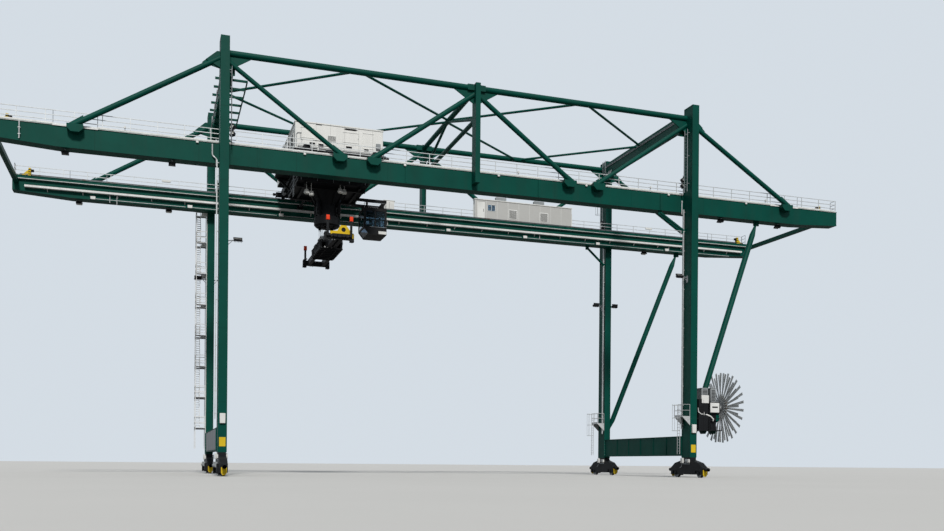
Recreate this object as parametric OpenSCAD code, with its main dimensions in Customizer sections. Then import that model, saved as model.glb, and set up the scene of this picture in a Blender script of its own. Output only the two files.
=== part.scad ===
// Rail mounted gantry crane, 1:2 scale model, all sizes in millimetres.
// +X runs along the girders, +Y along the rails, +Z up.
// The origin is midway between the four corners, level with the lowest edge of the wheel flanges.

/* [Portal] */
// Distance between the left and right legs, centre to centre
leg_span = 21500; // [20000:500:23000]
// Distance between the front and rear legs, centre to centre
leg_gauge = 8900; // [8500:100:9400]
// Width of a leg along the girders
leg_width = 330; // [260:10:420]
// Depth of a leg along the rails
leg_depth = 760; // [640:20:900]
// Height of the leg's foot above the wheel flanges
leg_foot_z = 950; // [900:10:1000]
// Height of the pylon heads
pylon_top = 17560; // [17300:50:18000]
// Thickness of welded cover plates
plate = 24; // [16:2:32]
// Height of the lower edge of the sill beams
sill_low = 1030; // [1000:10:1100]
// Depth of the sill beams
sill_depth = 940; // [800:20:1000]
// Width of the sill beams
sill_width = 280; // [220:10:320]

/* [Girders] */
// Overall length of each girder
girder_length = 38940; // [37800:100:39400]
// Height of the girder decks
girder_deck = 13500; // [13300:50:13700]
// Depth of each girder
girder_depth = 850; // [800:10:900]
// Width of each girder
girder_width = 600; // [560:10:640]
// Length over which each girder end tapers
taper_length = 2500; // [1500:100:3500]
// Depth of the girder at its ends
end_depth = 700; // [540:20:800]
// Height of the trolley rails
rail_height = 75; // [60:5:90]
// Width of the trolley rails
rail_width = 60; // [50:2:80]
// Distance from a girder's inner edge to the middle of its trolley rail
rail_inset = 90; // [70:5:110]
// Distance of the end ties from the girder ends
tie_inset = 170; // [130:10:300]
// Section of the end ties
tie_size = 190; // [150:10:240]
// Distance of the end ties' middle under the deck
tie_drop = 300; // [280:10:320]

/* [Bracing] */
// Height of the top chords
chord_z = 17090; // [16900:10:17200]
// Radius of the top chord tubes
chord_r = 130; // [100:5:150]
// Radius of the girder diagonals
diagonal_r = 95; // [70:5:110]
// Radius of the forestays
forestay_r = 110; // [80:5:120]
// Distance of the inner diagonals' feet from mid-span
inner_foot_x = 4550; // [4300:50:4700]
// Distance of the outer diagonals' feet from mid-span
outer_foot_x = 6005; // [5800:5:6200]
// Distance of the forestays' feet from mid-span
forestay_foot_x = 16300; // [15500:100:16700]
// Length of a console that carries tube feet
console_length = 600; // [560:10:640]
// Depth of a console
console_depth = 300; // [240:10:400]
// Width of the mid posts
post_width = 220; // [180:10:260]
// Depth of the mid posts
post_depth = 500; // [440:10:600]
// Radius of the mid frame's cross beams
cross_r = 120; // [90:5:130]
// Distance of the mid frame's lower cross beam under the top chords
low_cross_drop = 1370; // [1250:10:1500]
// Radius of the plan bracing tubes
plan_r = 56; // [40:2:60]
// Distance from mid-span to where the plan bracing meets the chords
plan_node_x = 5250; // [4900:50:5600]
// Distance of the head beams' middle from the legs' middle
head_inset = 230; // [200:10:300]
// Width of the head beams
head_width = 420; // [340:10:460]
// Depth of the head beams
head_depth = 600; // [500:20:640]
// Distance between the brackets under the left head beam
bracket_pitch = 950; // [800:50:1200]
// Reach of those brackets towards mid-span
bracket_reach = 620; // [500:20:700]
// Radius of the cantilever struts
strut_r = 135; // [100:5:150]
// Height at which the cantilever struts leave the legs
strut_low_z = 2480; // [2300:20:2700]
// Distance of the cantilever struts' tops from the right legs
strut_reach = 3950; // [3500:50:4200]

/* [Railings and access] */
// Height of the railings
railing_height = 560; // [500:10:600]
// Distance between railing posts
railing_pitch = 1000; // [800:50:1200]
// Section of railing posts and rails
railing_bar = 24; // [18:2:30]
// Width of the stair tower
stair_width = 500; // [440:10:560]
// Length of the stair tower along the rails
stair_length = 1100; // [1000:20:1300]
// Height of the lowest landing
stair_low = 2200; // [2000:50:2300]
// Height from landing to landing
stair_rise = 1500; // [1400:10:1500]
// Number of flights between landings
stair_flights = 7; // [5:1:7]
// Treads in each flight
stair_treads = 12; // [10:1:14]

/* [Wheels] */
// Tread radius of the crane wheels
wheel_r = 190; // [175:5:205]
// Height of the wheel flanges over the tread
flange = 15; // [10:1:18]
// Width of the wheel tread
tread_width = 70; // [60:2:80]
// Radius of the wheel axles
axle_r = 36; // [30:2:42]
// Distance of each wheel from its leg, along the rails
wheel_offset = 1000; // [850:25:1100]
// Width of a bogie frame
bogie_width = 300; // [270:10:330]
// Length of the buffers
buffer_length = 320; // [300:10:360]
// Radius of the buffers
buffer_r = 75; // [60:5:90]

/* [Cable reel] */
// Radius of the cable reel
reel_r = 1675; // [1500:25:1700]
// Height of the reel's axle
reel_z = 3350; // [3300:10:3500]
// Distance of the reel's middle from the right leg
reel_offset = 1730; // [1650:10:1800]
// Number of spokes on each side of the reel
reel_spokes = 26; // [18:2:30]
// Radius of the reel's axle
reel_axle_r = 55; // [45:5:65]
// Distance between the two rings of spokes
reel_gap = 90; // [70:5:120]

/* [Electrical house] */
// Place of the electrical house's left end along the rear girder
electrical_x = 2700; // [2400:50:3000]
// Length of the electrical house
electrical_length = 5600; // [5000:100:6000]
// Height of the electrical house's walls
electrical_height = 1080; // [1000:10:1250]
// Length of the small cabinet beside mid-span
cabinet_length = 520; // [400:20:600]
// Height of the small cabinet
cabinet_height = 540; // [400:20:700]
// Depth of the cable channel under the deck
channel_drop = 560; // [480:10:600]
// Distance of the cable channel's ends from the girder ends
channel_inset = 520; // [400:20:1000]

/* [Trolley] */
// Trolley's place along the girders
trolley_x = -5800; // [-6200:50:-5500]
// Length of the trolley's end carriages
carriage_length = 3800; // [3600:50:4200]
// Length of the machinery house
house_length = 3820; // [3600:20:4000]
// Depth of the machinery house
house_depth = 6000; // [5600:50:6200]
// Height of the machinery house
house_height = 1170; // [1000:10:1300]
// Length of the hanging frame at its top
frame_top = 4470; // [4300:10:4500]
// Length of the hanging frame at its foot
frame_foot = 3150; // [3000:50:3200]
// Depth of the hanging frame along the rails
frame_depth = 3140; // [2900:20:3300]
// Height of the hanging frame's lower edge
frame_low = 13050; // [13000:10:13100]
// Radius of the slewing column
column_r = 520; // [500:10:560]
// Radius of the slewing column's flared top
column_top_r = 860; // [700:20:1000]
// Height of the slewing platform
platform_z = 11750; // [11700:10:11850]
// Radius of the slewing ring
slew_r = 590; // [580:5:640]
// Depth of the turntable
slew_depth = 300; // [200:10:320]
// Length of the operator's cab
cab_length = 1100; // [1050:10:1200]
// Width of the operator's cab
cab_width = 1300; // [1200:10:1400]
// Height of the operator's cab
cab_height = 1240; // [1200:10:1300]
// Distance of the cab's roof under its carrying beams
cab_drop = 300; // [200:10:400]

/* [Spreader] */
// Height of the spreader's main frame, at its lower edge
spreader_z = 10220; // [10150:10:10250]
// Depth of the spreader's main frame
spreader_depth = 360; // [340:10:420]
// Length of the spreader's main frame
spreader_length = 2400; // [2300:10:2500]
// Distance between twistlocks along the spreader
lock_length = 5992.5; // [5900:0.5:6000]
// Distance between twistlocks across the spreader
lock_width = 1129.5; // [1120:0.5:1140]
// Radius of the twistlock pins
lock_r = 14; // [12:1:16]
// Height of the telescopic beams over the main frame's lower edge
tele_rise = 40; // [35:5:50]
// Width of the telescopic beams
tele_width = 170; // [150:5:180]
// Depth of the telescopic beams
tele_depth = 240; // [200:5:260]
// Running clearance round the telescopic beams
tele_clear = 0.3; // [0.2:0.1:2]
// Radius of the guide arms' shafts
flipper_shaft_r = 30; // [24:2:34]
// Length of the corner guide arms
flipper_length = 860; // [650:10:900]
// Distance between the two guide arms of one end
flipper_gap = 1020; // [900:20:1200]

/* [Hidden] */

green = [0.0, 0.25, 0.22];
dark = [0.10, 0.11, 0.13];
steel = [0.55, 0.57, 0.58];
white = [0.86, 0.87, 0.86];
orange = [0.90, 0.25, 0.12];
glass = [0.10, 0.14, 0.18, 0.5];

seat = 0.3;                                   // gap between round or moving faces that meet
leg_x = leg_span / 2;
leg_y = leg_gauge / 2;
girder_outer = leg_y - leg_depth / 2;         // the girders stand against the legs' inner faces
girder_inner = girder_outer - girder_width;
girder_y = (girder_outer + girder_inner) / 2;
girder_low = girder_deck - girder_depth;
girder_end = girder_length / 2;
truss_y = girder_outer + plate + 4 + chord_r;  // plane of the tubes on each side
head_x = leg_x - head_inset;
leg_face = leg_x - leg_width / 2;             // the legs' faces towards mid-span
leg_back = leg_x + leg_width / 2;             // the legs' faces towards the cantilevers
rail_y = girder_inner + rail_inset;
rail_top = girder_deck + rail_height;
forestay_top_z = chord_z - 240;
low_cross_z = chord_z - low_cross_drop;
foot_z = girder_deck + 40;                    // where the diagonals meet their consoles
wheel_z = wheel_r + flange;
bogie_half = wheel_offset + 380;
bogie_top = leg_foot_z;
cheek = 34;                                   // thickness of a bogie's side plates
cheek_y = tread_width + 4 * flange + 20;      // clear width between the side plates
buffer_z = 560;                                // height of the bogie's shoulder
reel_x = leg_back + reel_offset - leg_width / 2;

// Turns a profile drawn in X and Z into a solid between two places along Y
module along_y(y0, y1) {
    translate([0, y1, 0]) rotate([90, 0, 0]) linear_extrude(y1 - y0) children();
}

// Turns a profile drawn in Y and Z into a solid between two places along X
module along_x(x0, x1) {
    translate([x0, 0, 0]) rotate([90, 0, 90]) linear_extrude(x1 - x0) children();
}

// A box given by its two corners
module block(low, high) {
    translate(low) cube([for (i = [0:2]) high[i] - low[i]]);
}

// A round bar from one point to another, with its second radius for a cone
module bar(a, b, r, r2 = -1, sides = 24) {
    v = b - a;
    length = norm(v);
    translate(a) rotate([0, acos(v.z / length), atan2(v.y, v.x)])
        cylinder(h = length, r1 = r, r2 = (r2 < 0 ? r : r2), $fn = sides);
}

// A point part of the way from one point to another
function between(a, b, t) = a + (b - a) * t;

// A point a given distance from one point towards another
function towards(a, b, d) = a + (b - a) * (d / norm(b - a));

// A leg that runs on above the girder as a pylon
module leg(sx, sy) {
    lip = plate / 2;
    color(green) translate([sx * leg_x, sy * leg_y, 0]) {
        block([-leg_width / 2, -leg_depth / 2 + plate, leg_foot_z],
              [leg_width / 2, leg_depth / 2 - plate, pylon_top - plate]);
        for (side = [-1, 1]) translate([0, side * (leg_depth - plate) / 2, 0])
            block([-leg_width / 2 - lip, -plate / 2, leg_foot_z],
                  [leg_width / 2 + lip, plate / 2, pylon_top - plate]);
        block([-leg_width / 2 - lip, -leg_depth / 2, pylon_top - plate],
              [leg_width / 2 + lip, leg_depth / 2, pylon_top]);
    }
}

module front_left_leg() leg(-1, -1);
module rear_left_leg() leg(-1, 1);
module front_right_leg() leg(1, -1);
module rear_right_leg() leg(1, 1);

// Beams along the rails that join the front and rear legs near the ground
module sill_beams() {
    reach = girder_outer;
    color(green) for (side = [-1, 1]) translate([side * leg_x, 0, 0]) {
        block([-sill_width / 2, -reach, sill_low + plate],
              [sill_width / 2, reach, sill_low + sill_depth - plate]);
        for (z = [sill_low, sill_low + sill_depth - plate])
            block([-sill_width / 2 - plate, -reach, z],
                  [sill_width / 2 + plate, reach, z + plate]);
    }
}

// The outline of a bogie's side, seen along the girders
module bogie_outline() {
    low = wheel_z - 60;
    polygon([
        [-bogie_half, low], [bogie_half, low], [bogie_half, wheel_z + 260],
        [bogie_half - 350, buffer_z + 130], [leg_depth / 2, bogie_top - 120],
        [leg_depth / 2, bogie_top], [-leg_depth / 2, bogie_top],
        [-leg_depth / 2, bogie_top - 120], [-bogie_half + 350, buffer_z + 130],
        [-bogie_half, wheel_z + 260]]);
}

// One two-wheeled bogie, its wheel pockets and its buffers
module bogie() {
    pocket = wheel_r + flange + 25;
    difference() {
        union() {
            along_x(-bogie_width / 2, bogie_width / 2) bogie_outline();
            for (end = [-1, 1]) translate([0, end * bogie_half, wheel_z + 170])
                rotate([-90 * end, 0, 0]) cylinder(h = buffer_length, r = buffer_r, $fn = 32);
        }
        for (end = [-1, 1]) translate([0, end * wheel_offset, 0]) {
            block([-cheek_y / 2, -pocket, 0], [cheek_y / 2, pocket, wheel_z + pocket]);
            translate([-bogie_width, 0, wheel_z]) rotate([0, 90, 0])
                cylinder(h = 2 * bogie_width, r = axle_r + seat, $fn = 32);
            for (side = [-1, 1]) block(
                [side > 0 ? cheek_y / 2 + cheek : -bogie_width, -pocket, 0],
                [side > 0 ? bogie_width : -cheek_y / 2 - cheek, pocket, wheel_z + 120]);
        }
    }
}

module bogies() {
    color(dark) for (sx = [-1, 1], sy = [-1, 1])
        translate([sx * leg_x, sy * leg_y, 0]) bogie();
}

// A crane wheel with two flanges and its axle
module wheel(sx, sy, end) {
    half = tread_width / 2;
    rim = wheel_r + flange;
    hub = 80;
    color(steel) translate([sx * leg_x, sy * leg_y + end * wheel_offset, wheel_z])
        rotate([0, 90, 0]) rotate_extrude($fn = 64) polygon([
            [0, -cheek_y / 2 - cheek], [axle_r, -cheek_y / 2 - cheek],
            [axle_r, -cheek_y / 2 + seat], [hub, -cheek_y / 2 + seat],
            [hub, -half], [wheel_r - 60, -half], [wheel_r - 60, -half - 2 * flange],
            [rim, -half - 2 * flange], [rim, -half - flange], [wheel_r, -half],
            [wheel_r, half], [rim, half + flange], [rim, half + 2 * flange],
            [wheel_r - 60, half + 2 * flange], [wheel_r - 60, half], [hub, half],
            [hub, cheek_y / 2 - seat], [axle_r, cheek_y / 2 - seat],
            [axle_r, cheek_y / 2 + cheek], [0, cheek_y / 2 + cheek]]);
}

module wheel_front_left_a() wheel(-1, -1, -1);
module wheel_front_left_b() wheel(-1, -1, 1);
module wheel_rear_left_a() wheel(-1, 1, -1);
module wheel_rear_left_b() wheel(-1, 1, 1);
module wheel_front_right_a() wheel(1, -1, -1);
module wheel_front_right_b() wheel(1, -1, 1);
module wheel_rear_right_a() wheel(1, 1, -1);
module wheel_rear_right_b() wheel(1, 1, 1);

// The side outline of a girder between two heights under the deck, with tapered ends
module girder_strip(top, bottom) {
    rise = girder_depth - end_depth;
    taper = girder_end - taper_length;
    deck = girder_deck;
    function low(z) = z - girder_depth;
    polygon([
        [-girder_end, top > 0 ? deck - end_depth + top : deck],
        [-taper, top > 0 ? low(deck) + top : deck],
        [taper, top > 0 ? low(deck) + top : deck],
        [girder_end, top > 0 ? deck - end_depth + top : deck],
        [girder_end, deck - end_depth + bottom],
        [taper, low(deck) + bottom],
        [-taper, low(deck) + bottom],
        [-girder_end, deck - end_depth + bottom]]);
}

// A console on the girder's outer face that carries the foot of a tube at x
module console(x) {
    out = truss_y + forestay_r + 20;
    top = girder_deck + 10;
    along_y(girder_outer, out) polygon([
        [x - console_length / 2, top], [x + console_length / 2, top],
        [x + console_length / 2, top - console_depth / 2],
        [x + console_length / 4, top - console_depth],
        [x - console_length / 4, top - console_depth],
        [x - console_length / 2, top - console_depth / 2]]);
}

// A box girder with overhanging cover plates, built on the rear side
module girder() {
    color(green) {
        along_y(girder_inner + plate, girder_outer - plate) girder_strip(0, 0);
        along_y(girder_inner, girder_outer) girder_strip(plate, 0);
        block([-girder_end, girder_inner, girder_deck - plate],
              [girder_end, girder_outer, girder_deck]);
    }
}

module front_girder() mirror([0, 1, 0]) girder();
module rear_girder() girder();

// A beam that joins the front and rear pylon heads, with its haunches
module head_beam(side) {
    high = chord_z + chord_r;
    low = high - head_depth;
    x = side * head_x;
    reach = girder_outer;
    haunch = 700;
    color(green) along_x(x - head_width / 2, x + head_width / 2) polygon([
        [-reach, high], [reach, high], [reach, low - haunch / 2],
        [reach - haunch, low], [-reach + haunch, low], [-reach, low - haunch / 2]]);
}

// The left head beam also carries brackets and an edge tube for a cable walkway
module left_head_beam() {
    low = chord_z + chord_r - head_depth;
    inner = -head_x + head_width / 2;
    count = floor((girder_outer - 500) / bracket_pitch);
    head_beam(-1);
    color(green) {
        for (i = [-count:count])
            block([-head_x - head_width / 2 - 290, i * bracket_pitch - 30, low - 90],
                  [inner + bracket_reach, i * bracket_pitch + 30, low]);
        block([inner + bracket_reach - 50, -count * bracket_pitch - 30, low - 90],
              [inner + bracket_reach, count * bracket_pitch + 30, low - 40]);
    }
}

module right_head_beam() head_beam(1);

// Cross beams that tie the girder ends together
module end_ties() {
    z = girder_deck - tie_drop;
    color(green) for (side = [-1, 1]) translate([side * (girder_end - tie_inset), 0, z])
        block([-tie_size / 2, -girder_inner - plate, -tie_size / 2],
              [tie_size / 2, girder_inner + plate, tie_size / 2]);
}

// A tube whose ends narrow through a cone to a twelve-sided neck
module strut(a, b, r) {
    v = b - a;
    length = norm(v);
    neck = 240;
    cone = 420;
    translate(a) rotate([0, acos(v.z / length), atan2(v.y, v.x)]) {
        rotate_extrude($fn = 48) polygon([
            [0, neck], [r / 2, neck], [r, neck + cone], [r, length - neck - cone],
            [r / 2, length - neck], [0, length - neck]]);
        for (z = [0, length - neck - 1]) translate([0, 0, z])
            cylinder(h = neck + 1, r = r / 2 - 4, $fn = 12);
    }
}

// A strut from a right leg up to the cantilever and the short knee brace inside that leg
module portal_strut() {
    knee_x = leg_face - 1250;
    knee_z = girder_low - 950;
    knee_y = leg_y - 250;
    tip_x = leg_back + strut_reach;
    strut([leg_back + 90, leg_y, strut_low_z], [tip_x, girder_y, girder_low - 50], strut_r);
    block([leg_back, leg_y - 30, strut_low_z - 200],
          [leg_back + 160, leg_y + 30, strut_low_z + 120]);
    block([tip_x - 150, girder_y - 30, girder_low - 190],
          [tip_x + 150, girder_y + 30, girder_low]);
    bar([leg_face - 70, knee_y, knee_z + 50], [knee_x + 50, girder_outer - 110, girder_low - 80],
        62, sides = 12);
    block([leg_face - 170, knee_y - 25, knee_z - 60], [leg_face, knee_y + 25, knee_z + 130]);
    block([knee_x - 60, girder_outer - 135, girder_low - 170],
          [knee_x + 130, girder_outer - 85, girder_low]);
}

module portal_struts() {
    color(green) for (rear = [0, 1]) mirror([0, rear, 0]) portal_strut();
}

// The two tubes between the pylon heads and the mid post, with a square sleeve at that post
module top_chord() {
    sleeve = 300;
    start = post_width / 2;
    color(green) for (side = [-1, 1]) scale([side, 1, 1]) {
        bar([leg_face, truss_y, chord_z], [start + sleeve, truss_y, chord_z], chord_r);
        block([start, truss_y - chord_r, chord_z - chord_r],
              [start + sleeve, truss_y + chord_r, chord_z + chord_r]);
    }
}

module front_top_chord() mirror([0, 1, 0]) top_chord();
module rear_top_chord() top_chord();

// One sloping tube with its overlong ends trimmed by a box between two corners
module stay(a, b, r, low, high) {
    intersection() {
        bar(towards(a, b, -400), towards(b, a, -500), r);
        block(low, high);
    }
}

// Diagonals from the heads down to the girder, and the forestays to the cantilevers
module stays() {
    far = leg_y + 400;
    floor_z = girder_deck + 10;
    under = chord_z - chord_r - seat;
    head = [leg_face + 100, truss_y, chord_z - 260];
    mid_head = [post_width / 4, truss_y, chord_z - 250];
    color(green) for (side = [-1, 1]) scale([side, 1, 1]) {
        stay(head, [outer_foot_x, truss_y, foot_z], diagonal_r,
             [0, 0, floor_z - 1], [leg_face, far, under]);
        console(outer_foot_x);
        stay(mid_head, [inner_foot_x, truss_y, foot_z], diagonal_r + 15,
             [post_width / 2, 0, floor_z - 1], [leg_face, far, under]);
        console(inner_foot_x);
        stay([leg_back, truss_y, forestay_top_z], [forestay_foot_x, truss_y, foot_z],
             forestay_r, [leg_back, 0, floor_z - 1], [girder_end, far, chord_z]);
        console(forestay_foot_x);
        along_y(truss_y - plate, truss_y + plate) {
            polygon([[leg_face, under - 560], [leg_face, under], [leg_face - 900, under]]);
            polygon([[post_width / 2, under - 560], [post_width / 2, under],
                     [post_width / 2 + 900, under]]);
            polygon([[leg_back, forestay_top_z - 420], [leg_back, forestay_top_z + 230],
                     [leg_back + 160, forestay_top_z + 230], [leg_back + 700, forestay_top_z - 260]]);
            polygon([[forestay_foot_x - 290, floor_z - 1], [forestay_foot_x + 280, floor_z - 1],
                     [forestay_foot_x - 290, floor_z + 400]]);
            polygon([[inner_foot_x - 290, floor_z - 1], [inner_foot_x + 280, floor_z - 1],
                     [inner_foot_x - 290, floor_z + 380]]);
            polygon([[outer_foot_x - 280, floor_z - 1], [outer_foot_x + 290, floor_z - 1],
                     [outer_foot_x + 290, floor_z + 380]]);
        }
    }
}

module front_stays() mirror([0, 1, 0]) stays();
module rear_stays() stays();

// The mid posts, their two cross beams and the sloping tubes between those
module mid_frame() {
    post_top = chord_z + chord_r + 20;
    low = girder_deck - 620;
    color(green) {
        for (sy = [-1, 1]) {
            block([-post_width / 2, sy > 0 ? girder_outer : -girder_outer - post_depth, low],
                  [post_width / 2, sy > 0 ? girder_outer + post_depth : -girder_outer, post_top]);
            bar([0, 0, chord_z - 20], [0, sy * (girder_outer + 60), low_cross_z + 40],
                plan_r + 10);
        }
        bar([0, -girder_outer - 20, chord_z - 20], [0, girder_outer + 20, chord_z - 20], cross_r);
        bar([0, -girder_outer - 20, low_cross_z], [0, girder_outer + 20, low_cross_z],
            cross_r - 20);
    }
}

// Level tubes that brace the chords against each other
module plan_bracing() {
    z = chord_z;
    inner_face = head_x - head_width / 2;
    color(green) difference() {
        for (side = [-1, 1], sy = [-1, 1]) {
            y = sy * (truss_y - chord_r * 0.4);
            bar([side * (inner_face + 60), sy * 80, z], [side * (plan_node_x + 170), y, z], plan_r);
            bar([side * (plan_node_x - 170), y, z], [side * cross_r * 0.4, sy * 160, z], plan_r);
        }
        for (side = [-1, 1]) {
            translate([0, side * truss_y, chord_z]) rotate([0, 90, 0])
                cylinder(h = 2 * leg_x, r = chord_r + seat, center = true, $fn = 48);
            block([min(side * inner_face, side * leg_x), -1000, chord_z - 400],
                  [max(side * inner_face, side * leg_x), 1000, chord_z + 400]);
        }
        translate([0, 0, z - 20]) rotate([90, 0, 0])
            cylinder(h = leg_y, r = cross_r + seat, center = true, $fn = 48);
    }
}

// A railing along the outer edge of a girder
module railing() {
    y = girder_outer - 45;
    run = girder_end - 60;
    posts = floor(2 * run / railing_pitch);
    step = 2 * run / posts;
    half = railing_bar / 2;
    color(white) {
        for (i = [0:posts]) block([-run + i * step - half, y - half, girder_deck],
                                  [-run + i * step + half, y + half, girder_deck + railing_height]);
        for (k = [1:3]) block([-run, y - half, girder_deck + k * railing_height / 3 - railing_bar],
                              [run, y + half, girder_deck + k * railing_height / 3]);
        block([-run, y - half, girder_deck], [run, y + half, girder_deck + 60]);
    }
}

module front_railing() mirror([0, 1, 0]) railing();
module rear_railing() railing();

// The rails that the trolley runs on
module trolley_rails() {
    run = girder_end - 300;
    color(steel) for (sy = [-1, 1]) translate([0, sy * rail_y, 0])
        along_x(-run, run) polygon([
            [-rail_width, girder_deck], [rail_width, girder_deck],
            [rail_width, girder_deck + 12], [rail_width / 5, girder_deck + 22],
            [rail_width / 5, rail_top - 26], [rail_width / 2, rail_top - 18],
            [rail_width / 2, rail_top], [-rail_width / 2, rail_top],
            [-rail_width / 2, rail_top - 18], [-rail_width / 5, rail_top - 26],
            [-rail_width / 5, girder_deck + 22], [-rail_width, girder_deck + 12]]);
}

// The channel for the trolley's supply chain along the rear girder's inner face
module cable_channel() {
    run = girder_end - channel_inset;
    low = girder_deck - channel_drop;
    out = girder_inner - 150;
    pitch = 1500;
    web = girder_inner + plate;
    color(white) {
        block([-run, out, low], [run, web, low + 10]);
        block([-run, out, low], [run, out + 10, low + 90]);
        for (i = [-floor(run / pitch):floor(run / pitch)])
            along_x(i * pitch - 12, i * pitch + 12) polygon([
                [out, low], [web, low], [web, low - 130]]);
        block([-girder_end + 100, girder_inner - 110, girder_deck - 190],
              [girder_end - 100, web, girder_deck - 170]);
    }
}

// Landings, posts, flights and rails of the stair beside the rear left leg
module stair_tower() {
    x1 = -leg_back - plate / 2;
    x0 = x1 - stair_width;
    y0 = girder_outer + 10;
    y1 = y0 + stair_length;
    half = railing_bar / 2;
    lane = x0 + stair_width / 2;
    run = stair_length - 340;
    top = stair_low + stair_flights * stair_rise;
    color(white) {
        for (x = [x0, x1 - railing_bar], y = [y0, y1 - railing_bar])
            block([x, y, stair_low - 1000], [x + railing_bar, y + railing_bar,
                   top + railing_height]);
        for (i = [0:stair_flights]) {
            z = stair_low + i * stair_rise;
            block([x0, y0, z], [x1, y0 + 170, z + 20]);
            block([x0, y1 - 170, z], [x1, y1, z + 20]);
            block([lane, y0, z], [x1, y1, z + 20]);
            for (h = [railing_height / 2, railing_height]) {
                block([x0, y0, z + h - railing_bar], [x0 + railing_bar, y1, z + h]);
                block([x0, y0, z + h - railing_bar], [x1, y0 + railing_bar, z + h]);
                block([x0, y1 - railing_bar, z + h - railing_bar], [x1, y1, z + h]);
            }
            if (i < stair_flights) {
                for (x = [x0 + 26, lane - 40]) along_x(x, x + 14) polygon([
                    [y0 + 150, z + 10], [y0 + 250, z + 10],
                    [y0 + 190 + run, z + stair_rise + 10], [y0 + 90 + run, z + stair_rise + 10]]);
                for (k = [1:stair_treads]) {
                    t = k / (stair_treads + 1);
                    block([x0 + 30, y0 + 150 + (run - 60) * t, z + stair_rise * t],
                          [lane - 30, y0 + 240 + (run - 60) * t, z + stair_rise * t + 14]);
                }
            }
        }
    }
}

// The electrical house on the rear girder and the smaller white cabinets
module equipment_houses() {
    y0 = rail_y + 160;
    z = girder_deck;
    x0 = electrical_x;
    x1 = x0 + electrical_length;
    roof = z + electrical_height;
    color(white) {
        difference() {
            union() {
                block([x0, y0, z], [x1, girder_outer - 70, roof]);
                block([x0 - 30, y0 - 30, roof], [x1 + 30, girder_outer - 60, roof + 40]);
            }
            block([x0 + 120, y0 - 40, z + 60], [x0 + 560, y0 + 12, roof - 100]);
            block([x0 + 700, y0 - 40, roof - 560], [x0 + 1150, y0 + 12, roof - 220]);
        }
        block([-1680 - cabinet_length, y0 + 20, z], [-1680, y0 + 250, z + cabinet_height]);
    }
}

// Platform, cabinets and slip ring housing that carry the cable reel
module reel_stand() {
    deck = strut_low_z - 260;
    y = -leg_y;
    near = reel_x - reel_gap / 2 - 60;
    edge = near - 60;
    back = leg_back + plate / 2;
    color(white) difference() {
        union() {
            block([back, y - 360, deck], [edge, y + 360, deck + 40]);
            block([back + 120, y - 355, deck + 40], [back + 620, y - 150, deck + 1500]);
            block([near - 700, y - 290, reel_z - 290], [near - 130, y + 290, reel_z + 250]);
            block([near - 560, y - 200, deck + 40], [near - 280, y + 200, reel_z - 290]);
            translate([near - 130, y, reel_z]) rotate([0, 90, 0])
                cylinder(h = 110, r = 90, $fn = 48);
            for (sy = [-1, 1]) {
                for (x = [back, (back + edge) / 2, edge - railing_bar])
                    block([x, y + sy * 348 - 12, deck + 40],
                          [x + railing_bar, y + sy * 348 + 12, deck + 40 + railing_height]);
                block([back, y + sy * 348 - 12, deck + 40 + railing_height - railing_bar],
                      [edge, y + sy * 348 + 12, deck + 40 + railing_height]);
            }
        }
        translate([near - 180, y, reel_z]) rotate([0, 90, 0])
            cylinder(h = 200, r = reel_axle_r + seat, $fn = 48);
    }
}

// The reel: a hub on its axle, with two rings of radial bars that hold the wound cable
module cable_reel() {
    hub = 300;
    half = reel_gap / 2;
    thick = 14;
    near = -half - 60;
    color(steel) translate([reel_x, -leg_y, reel_z]) {
        rotate([0, 90, 0]) translate([0, 0, near - 20 + seat])
            cylinder(h = 20 + 2 * half + 120, r = 110, $fn = 48);
        rotate([0, 90, 0]) translate([0, 0, near - 130])
            cylinder(h = 200, r = reel_axle_r, $fn = 48);
        for (side = [-1, 1]) {
            rotate([0, 90, 0]) translate([0, 0, side * (half + 6) - 14])
                cylinder(h = 28, r = hub, $fn = 48);
            for (i = [0:reel_spokes - 1])
                rotate([i * 360 / reel_spokes + (side > 0 ? 180 / reel_spokes : 0), 0, 0])
                    translate([side * (half + 6), 0, 0]) rotate([0, side * 3, 0])
                        block([-thick / 2, -22, hub - 40], [thick / 2, 22, reel_r]);
        }
    }
}

// One side of the hanging frame: sloping upper members over a square lower part
module hanging_side() {
    foot = frame_foot / 2;
    head = frame_top / 2;
    top = girder_deck + 500;
    knee = girder_deck - 50;
    post = 130;
    difference() {
        polygon([[-foot, frame_low], [foot, frame_low], [foot, knee], [head, top],
                 [-head, top], [-foot, knee]]);
        for (side = [-1, 1]) scale([side, 1]) {
            polygon([[post / 2, frame_low + 150], [foot - post, frame_low + 150],
                     [foot - post, knee - 60], [post / 2, knee - 60]]);
            polygon([[post / 2, knee + 60], [foot - 60, knee + 60],
                     [head - 290, top - 150], [post / 2, top - 150]]);
        }
    }
}

// The column between the hanging frame and the slewing ring, turned from one profile
module slewing_column() {
    ring = platform_z + 60;
    rotate_extrude($fn = 96) polygon([
        [0, ring], [slew_r, ring], [slew_r, ring + 60], [column_r, ring + 60],
        [column_r, frame_low - 600], [column_top_r, frame_low - 60],
        [column_top_r, frame_low + 10], [0, frame_low + 10]]);
}

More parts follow.
